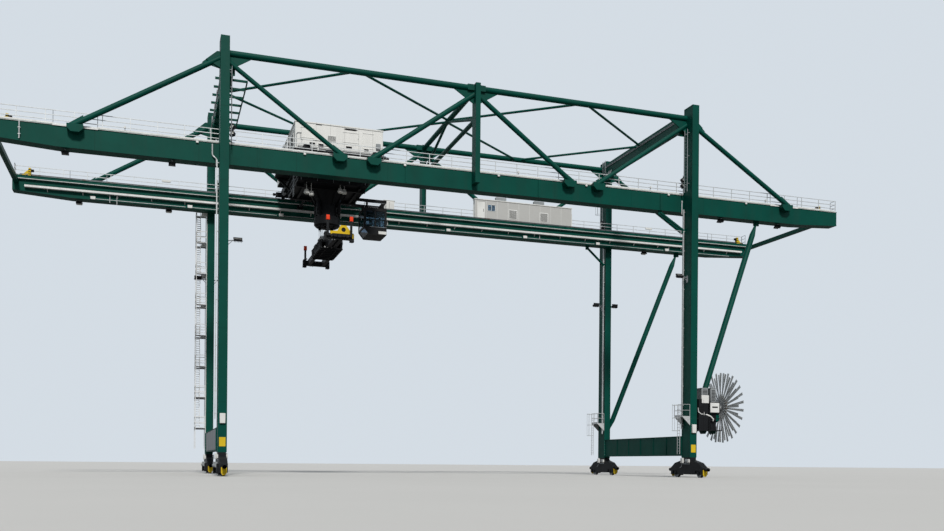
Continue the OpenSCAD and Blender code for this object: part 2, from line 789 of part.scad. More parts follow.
// Carriages, cross girders, the hanging frame and the slewing column of the trolley
module trolley_frame() {
    half = carriage_length / 2;
    base = rail_top + 60;
    top = girder_deck + 500;
    column = 1500;
    t = 140;
    y1 = frame_depth / 2;
    foot = frame_foot / 2;
    reach = rail_y + 95;
    cab_end = cab_x + cab_length;
    color(dark) translate([trolley_x, 0, 0]) difference() {
        union() {
            for (sy = [-1, 1]) {
                block([-half, sy * rail_y - 95, base], [half, sy * rail_y + 95, top - 160]);
                for (x = [-half + 350, half - 350])
                    translate([x, sy * rail_y - 45, rail_top + 130 + seat]) rotate([-90, 0, 0])
                        cylinder(h = 90, r = 130, $fn = 48);
                along_y(sy * (y1 - t / 2) - t / 2, sy * (y1 - t / 2) + t / 2) hanging_side();
            }
            for (x = [-column, column])
                block([x - 130, -reach, top - 300], [x + 130, reach, top]);
            for (x = [-foot, foot - t], z = [frame_low, girder_deck - 35])
                block([x, -y1, z], [x + t, y1, z + 120]);
            block([-house_length / 2, -house_depth / 2, top - 60],
                  [house_length / 2, house_depth / 2, top]);
            block([-frame_top / 2, -y1, top - 60], [frame_top / 2, y1, top]);
            block([-foot, -y1, frame_low], [foot, y1, frame_low + 50]);
            for (y = [cab_y + 120, cab_y + cab_width - 120])
                block([foot - t, y - 60, frame_low - 100], [cab_end, y + 60, frame_low + 20]);
            block([cab_end - 120, cab_y + 60, frame_low - 100],
                  [cab_end, cab_y + cab_width - 60, frame_low + 20]);
            slewing_column();
        }
        translate([0, 0, platform_z]) cylinder(h = 300, r = slew_r - 180, $fn = 64);
    }
    color(dark) translate([trolley_x, 0, 0]) difference() {
        translate([0, 0, platform_z]) cylinder(h = 60, r = slew_r, $fn = 96);
        translate([0, 0, platform_z - 10]) cylinder(h = 200, r = slew_r - 290, $fn = 64);
    }
}

// The panelled machinery house on top of the trolley, open underneath
module trolley_house() {
    base = girder_deck + 500;
    x = house_length / 2;
    y = house_depth / 2;
    wall = 2 * plate;
    color(white) translate([trolley_x, 0, base]) difference() {
        union() {
            block([-x, -y, 0], [x, y, house_height - 50]);
            block([-x - 25, -y - 25, house_height - 50], [x + 25, y + 25, house_height]);
        }
        block([-x + wall, -y + wall, -10], [x - wall, y - wall, house_height - 50 - wall]);
    }
}

// The side outline of the cab, inset all round by d
module cab_outline(d) {
    polygon([
        [d, cab_nose + d * 0.4], [cab_nose * 0.8 + d * 0.5, d], [cab_length - d, d],
        [cab_length - d, cab_height - d], [d, cab_height - d]]);
}

// A strip on the cab's sloping front: where it starts along the slope, how deep, its size
module cab_slope(start, depth, run, thick) {
    translate([0, cab_nose]) rotate(-atan(1 / 0.8)) translate([start, depth]) square([run, thick]);
}

cab_nose = 300;                                // height of the cab's sloping lower front
cab_x = frame_foot / 2 + 230;
cab_y = 300;
cab_z = frame_low - 100 - cab_drop - cab_height;
cab_pane = (cab_length - 250) / 2;             // length of each side pane

// The cab's frame with its window openings, hung from the trolley's cab beam
module operator_cab() {
    wall = 45;
    color(white) translate([trolley_x + cab_x, cab_y, cab_z]) {
        difference() {
            along_y(0, cab_width) cab_outline(0);
            along_y(wall, cab_width - wall) cab_outline(wall);
            block([-10, wall + 40, 380], [wall + 10, cab_width - wall - 40, cab_height - 130]);
            block([cab_length - wall - 10, wall + 40, 380],
                  [cab_length + 10, cab_width - wall - 40, cab_height - 130]);
            translate([0, wall + 40, 0]) along_y(0, cab_width - 2 * wall - 80)
                cab_slope(54, -30, 280, 100);
            for (x = [100, 150 + cab_pane])
                block([x, -10, 360], [x + cab_pane, cab_width + 10, cab_height - 130]);
        }
        for (x = [160, cab_length - 160], y = [120, cab_width - 120])
            block([x - 40, y - 40, cab_height], [x + 40, y + 40, cab_height + cab_drop]);
    }
}

// The panes that close the cab's windows
module cab_glass() {
    wall = 45;
    t = 10;
    color(glass) translate([trolley_x + cab_x, cab_y, cab_z]) {
        for (x = [15, cab_length - 15 - t])
            block([x, wall + 40, 380], [x + t, cab_width - wall - 40, cab_height - 130]);
        for (x = [100, 150 + cab_pane], y = [15, cab_width - 15 - t])
            block([x, y, 360], [x + cab_pane, y + t, cab_height - 130]);
        translate([0, wall + 40, 0]) along_y(0, cab_width - 2 * wall - 80)
            cab_slope(54, 15, 280, t);
    }
}

rope_top = platform_z - slew_depth - 60;
head_top = spreader_z + spreader_depth + 330;
rope_x = 280;
rope_y = 300;

// The turntable under the trolley, held by the collar over its platform
module slewing_frame() {
    color(dark) translate([trolley_x, 0, 0]) {
        rotate_extrude($fn = 96) polygon([
            [0, platform_z - slew_depth], [slew_r - 70, platform_z - slew_depth],
            [slew_r, platform_z - slew_depth + 70], [slew_r, platform_z - seat],
            [slew_r - 310, platform_z - seat], [slew_r - 310, platform_z + 60 + seat],
            [slew_r - 210, platform_z + 60 + seat], [slew_r - 210, platform_z + 120],
            [0, platform_z + 120]]);
        for (sx = [-1, 1], sy = [-1, 1]) translate([sx * rope_x, sy * rope_y, 0])
            block([-50, -90, rope_top], [50, 90, platform_z - slew_depth]);
    }
}

// The hoisting ropes between the turntable and the spreader's head frame
module hoist_ropes() {
    r = 7;
    color(steel) translate([trolley_x, 0, 0])
        for (sx = [-1, 1], sy = [-1, 1], k = [-1, 1])
            translate([sx * rope_x + k * 30, sy * rope_y, head_top])
                cylinder(h = rope_top - head_top, r = r, $fn = 16);
}

front_tele_x = 130;
rear_tele_x = front_tele_x + tele_width + 40;
tele_z = spreader_z + tele_rise;
spreader_half_width = rear_tele_x + tele_width / 2 + 70;
flipper_y = lock_length / 2 + 90 + 60;
flipper_z = tele_z + 100;

// The spreader's main frame with its four sliding channels and the head frame
module spreader_frame() {
    c = tele_clear;
    half = spreader_length / 2;
    color(dark) translate([trolley_x, 0, 0]) {
        difference() {
            block([-spreader_half_width, -half, spreader_z],
                  [spreader_half_width, half, spreader_z + spreader_depth]);
            for (side = [-1, 1], x = [front_tele_x, rear_tele_x])
                block([side * x - tele_width / 2 - c, -half - 10, tele_z - c],
                      [side * x + tele_width / 2 + c, half + 10, tele_z + tele_depth + c]);
        }
        block([-rope_x - 160, -rope_y - 400, spreader_z + spreader_depth],
              [rope_x + 160, rope_y + 400, spreader_z + spreader_depth + 150]);
        for (sx = [-1, 1], sy = [-1, 1])
            block([sx * rope_x - 70, sy * rope_y - 120, spreader_z + spreader_depth + 150],
                  [sx * rope_x + 70, sy * rope_y + 120, head_top]);
    }
}

// Telescopic beams, end beam and twistlocks of one spreader end, drawn at the rear
module spreader_end(x) {
    end = lock_length / 2;
    inner = spreader_length / 2 - 650;
    low = tele_z - 20;
    half = lock_width / 2 + 85;
    color(dark) {
        for (side = [-1, 1])
            block([side * x - tele_width / 2, inner, tele_z],
                  [side * x + tele_width / 2, end - 90, tele_z + tele_depth]);
        block([-half, end - 100, low], [half, end + 90, low + 230]);
        for (side = [-1, 1]) difference() {
            block([side * 330 - 45, end + 80, flipper_z - 55],
                  [side * 330 + 45, flipper_y + 55, flipper_z + 55]);
            translate([side * 330 - 60, flipper_y, flipper_z]) rotate([0, 90, 0])
                cylinder(h = 120, r = flipper_shaft_r + seat, $fn = 32);
        }
        for (side = [-1, 1]) translate([side * lock_width / 2, end, 0]) {
            block([-85, -95, low - 60], [85, 95, low + 10]);
            translate([0, 0, low - 100]) cylinder(h = 45, r = lock_r, $fn = 32);
            translate([0, 0, low - 125]) cylinder(h = 25, r1 = 5, r2 = lock_r, $fn = 32);
        }
    }
}

module spreader_end_rear() translate([trolley_x, 0, 0]) spreader_end(rear_tele_x);

// The front end also carries a gusseted guard plate with a round hole over its beam
module spreader_end_front() translate([trolley_x, 0, 0]) mirror([0, 1, 0]) {
    spreader_end(front_tele_x);
    end = lock_length / 2;
    low = tele_z + 210;
    left = -370;
    right = 600;
    apex = 200;
    rise = 400;
    color([0.8, 0.65, 0.15]) along_y(end - 60, end - 30) difference() {
        polygon([[left, low], [right, low], [right, low + 50], [apex + 130, low + rise],
                 [apex - 110, low + rise], [apex - 260, low + 150], [left, low + 120]]);
        translate([apex + 10, low + 215]) circle(r = 100, $fn = 32);
    }
}

// Two guide arms on their shaft at the rear end of the spreader
module flippers() {
    arm = flipper_gap / 2;
    color(orange) translate([trolley_x, 0, 0]) {
        translate([-arm - 50, flipper_y, flipper_z]) rotate([0, 90, 0])
            cylinder(h = 2 * arm + 100, r = flipper_shaft_r, $fn = 32);
        for (side = [-1, 1]) along_x(side * arm - 45, side * arm + 45) polygon([
            [flipper_y - 38, flipper_z - 30], [flipper_y + 38, flipper_z - 30],
            [flipper_y + 38, flipper_z + flipper_length - 130],
            [flipper_y + 20, flipper_z + flipper_length],
            [flipper_y - 38, flipper_z + flipper_length]]);
    }
}

module flippers_rear() flippers();
module flippers_front() mirror([0, 1, 0]) flippers();

front_left_leg();
rear_left_leg();
front_right_leg();
rear_right_leg();
sill_beams();
bogies();
front_girder();
rear_girder();
left_head_beam();
right_head_beam();
end_ties();
portal_struts();
front_top_chord();
rear_top_chord();
front_stays();
rear_stays();
mid_frame();
plan_bracing();
front_railing();
rear_railing();
trolley_rails();
cable_channel();
stair_tower();
equipment_houses();
reel_stand();
wheel_front_left_a();
wheel_front_left_b();
wheel_rear_left_a();
wheel_rear_left_b();
wheel_front_right_a();
wheel_front_right_b();
wheel_rear_right_a();
wheel_rear_right_b();
cable_reel();
trolley_frame();
trolley_house();
operator_cab();
cab_glass();
slewing_frame();
hoist_ropes();
spreader_frame();
spreader_end_front();
spreader_end_rear();
flippers_front();
flippers_rear();
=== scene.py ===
"""Looks of the rail mounted gantry crane: paint, galvanised trim and the fittings on each part."""
import math

import bmesh
import bpy
from mathutils import Matrix, Vector


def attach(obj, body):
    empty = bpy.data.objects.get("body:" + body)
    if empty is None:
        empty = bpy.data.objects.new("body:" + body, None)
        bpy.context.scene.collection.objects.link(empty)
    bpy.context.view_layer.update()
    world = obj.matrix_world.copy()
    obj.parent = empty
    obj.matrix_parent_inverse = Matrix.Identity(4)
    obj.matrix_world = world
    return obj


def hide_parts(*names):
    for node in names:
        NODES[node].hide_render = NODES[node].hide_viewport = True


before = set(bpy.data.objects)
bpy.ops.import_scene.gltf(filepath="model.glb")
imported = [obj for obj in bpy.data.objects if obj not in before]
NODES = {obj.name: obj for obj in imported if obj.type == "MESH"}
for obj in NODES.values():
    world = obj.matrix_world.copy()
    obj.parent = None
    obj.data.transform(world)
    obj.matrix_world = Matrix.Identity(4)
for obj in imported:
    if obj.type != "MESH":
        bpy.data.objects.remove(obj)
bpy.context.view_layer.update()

# Finishes


def linear(red, green, blue):
    """A colour from sRGB values of 0 to 255."""
    return tuple((c / 255 / 12.92) if c <= 10 else ((c / 255 + 0.055) / 1.055) ** 2.4
                 for c in (red, green, blue)) + (1.0,)


class Finish:
    """A material in the making: its node tree and short ways to add nodes and links."""

    def __init__(self, name, colour, rough=0.5, metal=0.0, coat=0.0, gloss=0.5):
        self.material = bpy.data.materials.new(name)
        self.material.use_nodes = True
        self.material.diffuse_color = colour
        self.tree = self.material.node_tree
        self.shader = self.tree.nodes["Principled BSDF"]
        self.shader.inputs["Base Color"].default_value = colour
        self.shader.inputs["Roughness"].default_value = rough
        self.shader.inputs["Metallic"].default_value = metal
        self.shader.inputs["Coat Weight"].default_value = coat
        self.shader.inputs["Specular IOR Level"].default_value = gloss
        self.coords = self.tree.nodes.new("ShaderNodeTexCoord").outputs["Object"]

    def add(self, kind, **settings):
        node = self.tree.nodes.new(kind)
        for key, value in settings.items():
            setattr(node, key, value)
        return node

    def link(self, source, target):
        self.tree.links.new(source, target)

    def mapping(self, scale=(1, 1, 1)):
        node = self.add("ShaderNodeMapping")
        node.inputs["Scale"].default_value = scale
        self.link(self.coords, node.inputs["Vector"])
        return node.outputs["Vector"]

    def noise(self, scale, detail=4, stretch=(1, 1, 1), rough=0.55):
        node = self.add("ShaderNodeTexNoise")
        node.inputs["Scale"].default_value = scale
        node.inputs["Detail"].default_value = detail
        node.inputs["Roughness"].default_value = rough
        self.link(self.mapping(stretch), node.inputs["Vector"])
        return node.outputs["Fac"]

    def ramp(self, source, stops):
        """A colour ramp over a value; stops are pairs of place and grey or colour."""
        node = self.add("ShaderNodeValToRGB")
        elements = node.color_ramp.elements
        while len(elements) < len(stops):
            elements.new(0.5)
        for element, (place, value) in zip(elements, stops):
            element.position = place
            element.color = value if isinstance(value, tuple) else (value, value, value, 1)
        self.link(source, node.inputs["Fac"])
        return node.outputs["Color"]

    def blend(self, factor, low, high, mode="MIX"):
        """Mixes two colours or colour outputs by a factor."""
        node = self.add("ShaderNodeMix", data_type="RGBA", blend_type=mode)
        for value, index in ((factor, 0), (low, 6), (high, 7)):
            if isinstance(value, bpy.types.NodeSocket):
                self.link(value, node.inputs[index])
            else:
                node.inputs[index].default_value = value
        return node.outputs[2]

    def bands(self, axis, pitch, width):
        """1 on thin lines across an axis, pitch metres apart, and 0 between them."""
        split = self.add("ShaderNodeSeparateXYZ")
        self.link(self.coords, split.inputs[0])
        ping = self.add("ShaderNodeMath", operation="PINGPONG")
        self.link(split.outputs[axis], ping.inputs[0])
        ping.inputs[1].default_value = pitch / 2
        low = self.add("ShaderNodeMath", operation="LESS_THAN")
        self.link(ping.outputs[0], low.inputs[0])
        low.inputs[1].default_value = width / 2
        return low.outputs[0]

    def colour(self, output):
        self.link(output, self.shader.inputs["Base Color"])

    def rough(self, output, low, high):
        """Roughness from a value output, between two levels."""
        node = self.add("ShaderNodeMapRange")
        node.inputs["To Min"].default_value = low
        node.inputs["To Max"].default_value = high
        self.link(output, node.inputs["Value"])
        self.link(node.outputs["Result"], self.shader.inputs["Roughness"])

    def bump(self, output, distance, strength=1.0):
        node = self.add("ShaderNodeBump")
        node.inputs["Strength"].default_value = strength
        node.inputs["Distance"].default_value = distance
        self.link(output, node.inputs["Height"])
        self.link(node.outputs["Normal"], self.shader.inputs["Normal"])


def painted_steel(name, colour, seam_axis=None, seam_pitch=3.0, dirt=0.5, rough=0.46, gloss=0.1):
    """Paint on plate: faint mottling, weather streaks down it, weld seams and orange peel."""
    finish = Finish(name, colour, rough, gloss=gloss)
    mottle = finish.ramp(finish.noise(0.9, 5), [(0.3, 0.86), (0.7, 1.1)])
    base = finish.blend(1.0, colour, mottle, "MULTIPLY")
    streaks = finish.ramp(finish.noise(2.2, 6, (1.0, 1.0, 0.06)), [(0.48, 0.0), (0.8, 1.0)])
    grime = tuple(0.55 * c + 0.012 for c in colour[:3]) + (1.0,)
    mask = finish.blend(dirt, (0, 0, 0, 1), streaks)
    base = finish.blend(mask, base, grime)
    if seam_axis is not None:
        seam = finish.bands(seam_axis, seam_pitch, 0.02)
        shade = tuple(0.72 * c for c in colour[:3]) + (1.0,)
        base = finish.blend(seam, base, shade)
    finish.colour(base)
    finish.rough(finish.noise(6, 4), rough - 0.08, rough + 0.14)
    finish.bump(finish.noise(45, 3), 0.002, 0.25)
    return finish.material


def galvanised(name, colour, rough=0.42, metal=0.65):
    """Zinc coated steel: a spangle of small grey crystals, dull and patchy."""
    finish = Finish(name, colour, rough, metal)
    spangle = finish.add("ShaderNodeTexVoronoi")
    spangle.inputs["Scale"].default_value = 28
    finish.link(finish.mapping(), spangle.inputs["Vector"])
    grey = finish.add("ShaderNodeRGBToBW")
    finish.link(spangle.outputs["Color"], grey.inputs[0])
    tone = finish.ramp(grey.outputs[0], [(0.1, 0.84), (0.9, 1.08)])
    patch = finish.ramp(finish.noise(1.7, 5), [(0.35, 0.86), (0.7, 1.04)])
    finish.colour(finish.blend(1.0, finish.blend(1.0, colour, tone, "MULTIPLY"), patch, "MULTIPLY"))
    finish.rough(finish.noise(9, 4), rough - 0.1, rough + 0.15)
    return finish.material


def worn_steel(name, colour, rough=0.35, metal=0.9):
    """Bare rolled steel: brushed along its run, with brown rust in patches."""
    finish = Finish(name, colour, rough, metal)
    brushed = finish.ramp(finish.noise(30, 3, (0.05, 1, 1)), [(0.3, 0.8), (0.7, 1.1)])
    rust = finish.ramp(finish.noise(3.5, 7), [(0.55, 0.0), (0.72, 1.0)])
    base = finish.blend(1.0, colour, brushed, "MULTIPLY")
    finish.colour(finish.blend(rust, base, linear(96, 62, 44)))
    finish.rough(rust, rough, 0.8)
    finish.bump(finish.noise(60, 4), 0.0015, 0.4)
    return finish.material


def panelled(name, colour, pitch):
    """White sandwich panels with narrow vertical joints and faint run marks."""
    finish = Finish(name, colour, 0.42, coat=0.15)
    joint_x = finish.bands("X", pitch, 0.016)
    joint_y = finish.bands("Y", pitch, 0.016)
    either = finish.add("ShaderNodeMath", operation="MAXIMUM")
    finish.link(joint_x, either.inputs[0])
    finish.link(joint_y, either.inputs[1])
    runs = finish.ramp(finish.noise(3.0, 6, (1, 1, 0.08)), [(0.45, 1.0), (0.85, 0.88)])
    base = finish.blend(1.0, colour, runs, "MULTIPLY")
    grey = tuple(0.62 * c for c in colour[:3]) + (1.0,)
    finish.colour(finish.blend(either.outputs[0], base, grey))
    finish.rough(finish.noise(5, 4), 0.34, 0.52)
    return finish.material


def dull(name, colour, rough=0.7, grain=80.0):
    """Rubber, plastic or dark machine paint: a fine grain and a little tone."""
    finish = Finish(name, colour, rough, gloss=0.2)
    tone = finish.ramp(finish.noise(2.5, 5), [(0.3, 0.8), (0.7, 1.15)])
    finish.colour(finish.blend(1.0, colour, tone, "MULTIPLY"))
    finish.rough(finish.noise(8, 3), rough - 0.1, rough + 0.12)
    finish.bump(finish.noise(grain, 3), 0.001, 0.3)
    return finish.material


def window_glass(name, colour):
    """Tinted safety glass."""
    finish = Finish(name, colour, 0.02)
    finish.shader.inputs["Transmission Weight"].default_value = 0.96
    finish.shader.inputs["IOR"].default_value = 1.45
    tone = finish.ramp(finish.noise(1.5, 2), [(0.3, 0.9), (0.7, 1.06)])
    finish.colour(finish.blend(1.0, colour, tone, "MULTIPLY"))
    return finish.material


def lamp_lens(name, colour):
    """A lamp's ribbed lens."""
    finish = Finish(name, colour, 0.12, coat=0.8)
    ribs = finish.bands("Z", 0.03, 0.008)
    finish.colour(finish.blend(ribs, colour, tuple(0.7 * c for c in colour[:3]) + (1.0,)))
    return finish.material


DEEP_GREEN = linear(0, 72, 62)
GREEN = painted_steel("green_paint", DEEP_GREEN)
GIRDER_GREEN = painted_steel("green_girder_paint", DEEP_GREEN, "X", 3.9)
LEG_GREEN = painted_steel("green_leg_paint", DEEP_GREEN, "Z", 2.95)
DARK = painted_steel("dark_machine_paint", linear(27, 29, 32), dirt=0.35, rough=0.5, gloss=0.14)
BLACK = dull("black_rubber_and_painted_shade", linear(17, 18, 20))
CABLE = dull("weathered_cable", linear(98, 91, 84))
ZINC = galvanised("galvanised_steel", linear(150, 156, 161), 0.5, 0.3)
WHITE_TRIM = galvanised("white_galvanised_trim", linear(236, 238, 238), 0.55, 0.0)
WHITE_ZINC = galvanised("bright_galvanised_steel", linear(206, 210, 212), 0.5, 0.35)
WHITE = panelled("white_panels", linear(232, 233, 231), 0.62)
WHITE_PAINT = painted_steel("white_paint", linear(228, 230, 229), dirt=0.12, rough=0.4)
STEEL = worn_steel("wheel_steel", linear(120, 122, 124))
ORANGE = painted_steel("orange_paint", linear(232, 66, 30), dirt=0.2, rough=0.45)
YELLOW = painted_steel("yellow_paint", linear(222, 190, 44), dirt=0.3, rough=0.45)
GLASS = window_glass("window_glass", linear(150, 176, 196))
LENS = lamp_lens("lamp_lens", linear(236, 238, 232))
GREY_PAINT = painted_steel("grey_paint", linear(150, 156, 160), dirt=0.3, rough=0.5)

CAD_FINISHES = (
    (LEG_GREEN, "front_left_leg rear_left_leg front_right_leg rear_right_leg"),
    (GIRDER_GREEN, "front_girder rear_girder"),
    (GREEN, "sill_beams left_head_beam right_head_beam end_ties portal_struts front_top_chord "
            "rear_top_chord front_stays rear_stays mid_frame plan_bracing"),
    (DARK, "bogies reel_stand trolley_frame operator_cab slewing_frame spreader_frame "
           "spreader_end_front spreader_end_rear flippers_front flippers_rear"),
    (WHITE_ZINC, "front_railing rear_railing cable_reel"),
    (WHITE_TRIM, "cable_channel stair_tower"),
    (WHITE, "equipment_houses trolley_house"),
    (GLASS, "cab_glass"))
NODE_FINISH = {name: finish for finish, names in CAD_FINISHES for name in names.split()}

for name, node in NODES.items():
    for place in node.material_slots:
        place.material = NODE_FINISH.get(name, STEEL)

# The slot named for each finish
SLOTS = {finish.name: slot for slot, finishes in (
    ("green_paint", (GREEN, LEG_GREEN)), ("dark_paint", (DARK, BLACK, CABLE)),
    ("white_panels", (WHITE_PAINT, GREY_PAINT, LENS)), ("wheel_steel", (STEEL,)),
    ("galvanised", (ZINC, WHITE_ZINC, WHITE_TRIM)), ("orange_paint", (ORANGE, YELLOW)),
    ("window_glass", (GLASS,))) for finish in finishes}

# Sizes shared with the steelwork, in metres

LEG_X, LEG_Y = 10.75, 4.45
FACE, SIDE = 0.165, 0.38                 # half a leg's width and half its depth
LIP = 0.012                              # how far a leg's cover plates stand out
DECK, GIRDER_LOW = 13.5, 12.65
OUTER, INNER, GIRDER_END = 4.07, 3.47, 19.47
RAIL_Y = 3.56
TROLLEY = -5.8
MID_TROLLEY = (TROLLEY, 0, 0)
CAB_CORNER = (-3.995, 0.3, 11.41)
WHEEL_Z = 0.205
REEL = Vector((12.48, -4.45, 3.35))
REEL_RADIUS = 1.675
TRAY_LOW, TRAY_HIGH = 2.3, 12.75         # ends of the cable trays on the legs
CHANNEL_END = 18.85                      # half the supply chain's length
STOP_X = 18.7                            # faces of the trolley's end stops
HOUSE_HALF, HOUSE_SIDE = 1.91, 3.0       # half the machinery house's length and width
HOUSE_FLOOR, HOUSE_ROOF = 14.0, 15.17
FRAME_FLOOR, FRAME_HALF = 13.1, 1.575    # the hanging frame's floor and half its length
LOCK_X, LOCK_Y = 0.56475, 2.99625        # the twistlocks' places about the spreader's middle
ARM_Y = 3.14625                          # the guide arms' distance from the middle
BEAM_TOP = 10.47                         # top of the spreader's end beams
CORNERS = [(sx, sy) for sx in (-1, 1) for sy in (-1, 1)]


class Piece:
    """A fitting in the making: shapes are added to one mesh, placed from an origin."""

    def __init__(self, origin=(0, 0, 0)):
        self.bm = bmesh.new()
        self.origin = origin

    def box(self, low, high, soft=0.0):
        """A box between two corners, with its edges broken where soft is given."""
        size = [abs(b - a) for a, b in zip(low, high)]
        place = Matrix.Translation([(a + b) / 2 for a, b in zip(low, high)])
        self.block(place, size, soft)

    def block(self, place, size, soft=0.0):
        """A box of a size, put in place by a matrix."""
        made = bmesh.ops.create_cube(self.bm, size=1, matrix=place @ Matrix.Diagonal((*size, 1)))
        if soft:
            edges = list({edge for vert in made["verts"] for edge in vert.link_edges})
            bmesh.ops.bevel(self.bm, geom=edges, offset=soft, segments=1, affect="EDGES",
                            profile=0.5, material=-1)

    def rod(self, start, end, radius, tip=None, sides=10):
        """A round bar from one point to another, or a cone where tip is given."""
        start, end = Vector(start), Vector(end)
        run = end - start
        turn = run.to_track_quat("Z", "Y").to_matrix().to_4x4()
        bmesh.ops.create_cone(self.bm, cap_ends=True, segments=sides, radius1=radius,
                              radius2=radius if tip is None else tip, depth=run.length,
                              matrix=Matrix.Translation((start + end) / 2) @ turn)

    def pipe(self, points, radius, sides=8):
        """A bent pipe along a line of points."""
        points = [Vector(point) for point in points]
        rings = []
        for i, point in enumerate(points):
            ahead = points[min(i + 1, len(points) - 1)] - point
            behind = point - points[max(i - 1, 0)]
            along = ahead.normalized() + behind.normalized()
            place = Matrix.Translation(point) @ along.to_track_quat("Z", "Y").to_matrix().to_4x4()
            ring = bmesh.ops.create_circle(self.bm, cap_ends=False, segments=sides,
                                           radius=radius, matrix=place)["verts"]
            rings.append(list({edge for vert in ring for edge in vert.link_edges}))
        for near, far in zip(rings, rings[1:]):
            bmesh.ops.bridge_loops(self.bm, edges=near + far)
        for ring in (rings[0], rings[-1]):
            bmesh.ops.edgeloop_fill(self.bm, edges=ring)

    def plate(self, outline, run):
        """A flat outline pushed along a vector."""
        face = self.bm.faces.new([self.bm.verts.new(point) for point in outline])
        grown = bmesh.ops.extrude_face_region(self.bm, geom=[face])["geom"]
        bmesh.ops.translate(self.bm, vec=run,
                            verts=[part for part in grown if isinstance(part, bmesh.types.BMVert)])

    def turned(self, profile, centre, axis=(0, 0, 1), steps=24):
        """Radius and height pairs spun about an axis through a centre."""
        form = bmesh.new()
        verts = [form.verts.new((radius, 0, height)) for radius, height in profile]
        edges = [form.edges.new(pair) for pair in zip(verts, verts[1:])]
        bmesh.ops.spin(form, geom=verts + edges, cent=(0, 0, 0), axis=(0, 0, 1), dvec=(0, 0, 0),
                       angle=2 * math.pi, steps=steps, use_merge=True)
        bmesh.ops.remove_doubles(form, verts=form.verts, dist=1e-5)
        turn = Vector(axis).to_track_quat("Z", "Y").to_matrix().to_4x4()
        form.transform(Matrix.Translation(Vector(centre)) @ turn)
        bmesh.ops.recalc_face_normals(form, faces=form.faces)
        mesh = bpy.data.meshes.new("turned")
        form.to_mesh(mesh)
        form.free()
        self.bm.from_mesh(mesh)
        bpy.data.meshes.remove(mesh)

    def bolts(self, centres, axis, radius=0.016, height=0.014):
        """Hexagon bolt heads standing on a face."""
        run = Vector(axis).normalized() * height
        for centre in centres:
            self.rod(centre, Vector(centre) + run, radius, sides=6)

    def rail_run(self, points, height, bars=2, pitch=1.0, radius=0.014):
        """A railing over a line of floor points, with posts and level bars."""
        points = [Vector(point) for point in points]
        for near, far in zip(points, points[1:]):
            count = max(1, round((far - near).length / pitch))
            for i in range(count + 1):
                foot = near.lerp(far, i / count)
                self.rod(foot, foot + Vector((0, 0, height)), radius, sides=6)
            for k in range(1, bars + 1):
                rise = Vector((0, 0, height * k / bars))
                self.rod(near + rise, far + rise, radius, sides=6)

    def ladder(self, foot, height, across, out, cage=True, pitch=0.15):
        """A ladder up from a foot point; across and out give its width and its cage's side."""
        foot, across, out = Vector(foot), Vector(across), Vector(out)
        up = Vector((0, 0, 1))
        for side in (-0.5, 0.5):
            self.rod(foot + across * side, foot + across * side + up * height, 0.014, sides=6)
        for i in range(1, int(height / pitch)):
            rung = foot + up * (i * pitch)
            self.rod(rung - across / 2, rung + across / 2, 0.008, sides=6)
        if cage:
            hoops = [(-0.5, 0), (-0.75, 0.45), (-0.5, 1.0), (0, 1.2), (0.5, 1.0), (0.75, 0.45),
                     (0.5, 0)]
            for i in range(int((height - 1.1) / 0.6) + 1):
                level = foot + up * (1.1 + i * 0.6)
                self.pipe([level + across * a + out * b for a, b in hoops], 0.009, sides=6)
            for a, b in hoops[1:6]:
                start = foot + across * a + out * b
                self.rod(start + up * 1.1, start + up * height, 0.007, sides=4)

    def done(self, name, material, body="portal", slot=None):
        """Makes the piece's object and rides it on a body; its slot is looked up but not given to
        it.
        """
        bmesh.ops.translate(self.bm, vec=self.origin, verts=self.bm.verts)
        bmesh.ops.recalc_face_normals(self.bm, faces=self.bm.faces)
        for face in self.bm.faces:
            face.smooth = True
        mesh = bpy.data.meshes.new(name)
        self.bm.to_mesh(mesh)
        self.bm.free()
        mesh.set_sharp_from_angle(angle=math.radians(38))
        mesh.materials.append(material)
        piece = bpy.data.objects.new(name, mesh)
        bpy.context.scene.collection.objects.link(piece)
        slot = slot or SLOTS[material.name]
        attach(piece, body)
        return piece


def fins(count, start, pitch, low, high, thick):
    """Radius and height pairs of the cooling ribs along a motor."""
    pairs = []
    for k in range(count):
        z = start + k * pitch
        pairs += [(low, z), (low, z + thick), (high, z + thick), (high, z + 2 * thick)]
    return pairs


def floodlight(housing, lens, at, yaw, tilt, wide=0.26, high=0.19):
    """A floodlight head: a ribbed housing with a hood, a yoke, and its lens."""
    place = Matrix.Translation(at) @ Matrix.Rotation(yaw, 4, "Z") @ Matrix.Rotation(tilt, 4, "X")
    housing.block(place, (wide, 0.09, high), 0.012)
    for i in range(6):
        rib = place @ Matrix.Translation((wide * (i / 5 - 0.5) * 0.84, 0.065, 0))
        housing.block(rib, (0.008, 0.045, high * 0.86))
    housing.block(place @ Matrix.Translation((0, -0.075, high / 2)), (wide * 1.04, 0.08, 0.008))
    for side in (-1, 1):
        arm = place @ Matrix.Translation((side * (wide / 2 + 0.014), 0.03, -0.01))
        housing.block(arm, (0.01, 0.03, high * 0.8))
    lens.block(place @ Matrix.Translation((0, -0.048, 0)), (wide * 0.88, 0.012, high * 0.84), 0.004)


# The portal: legs, girders and what hangs on them


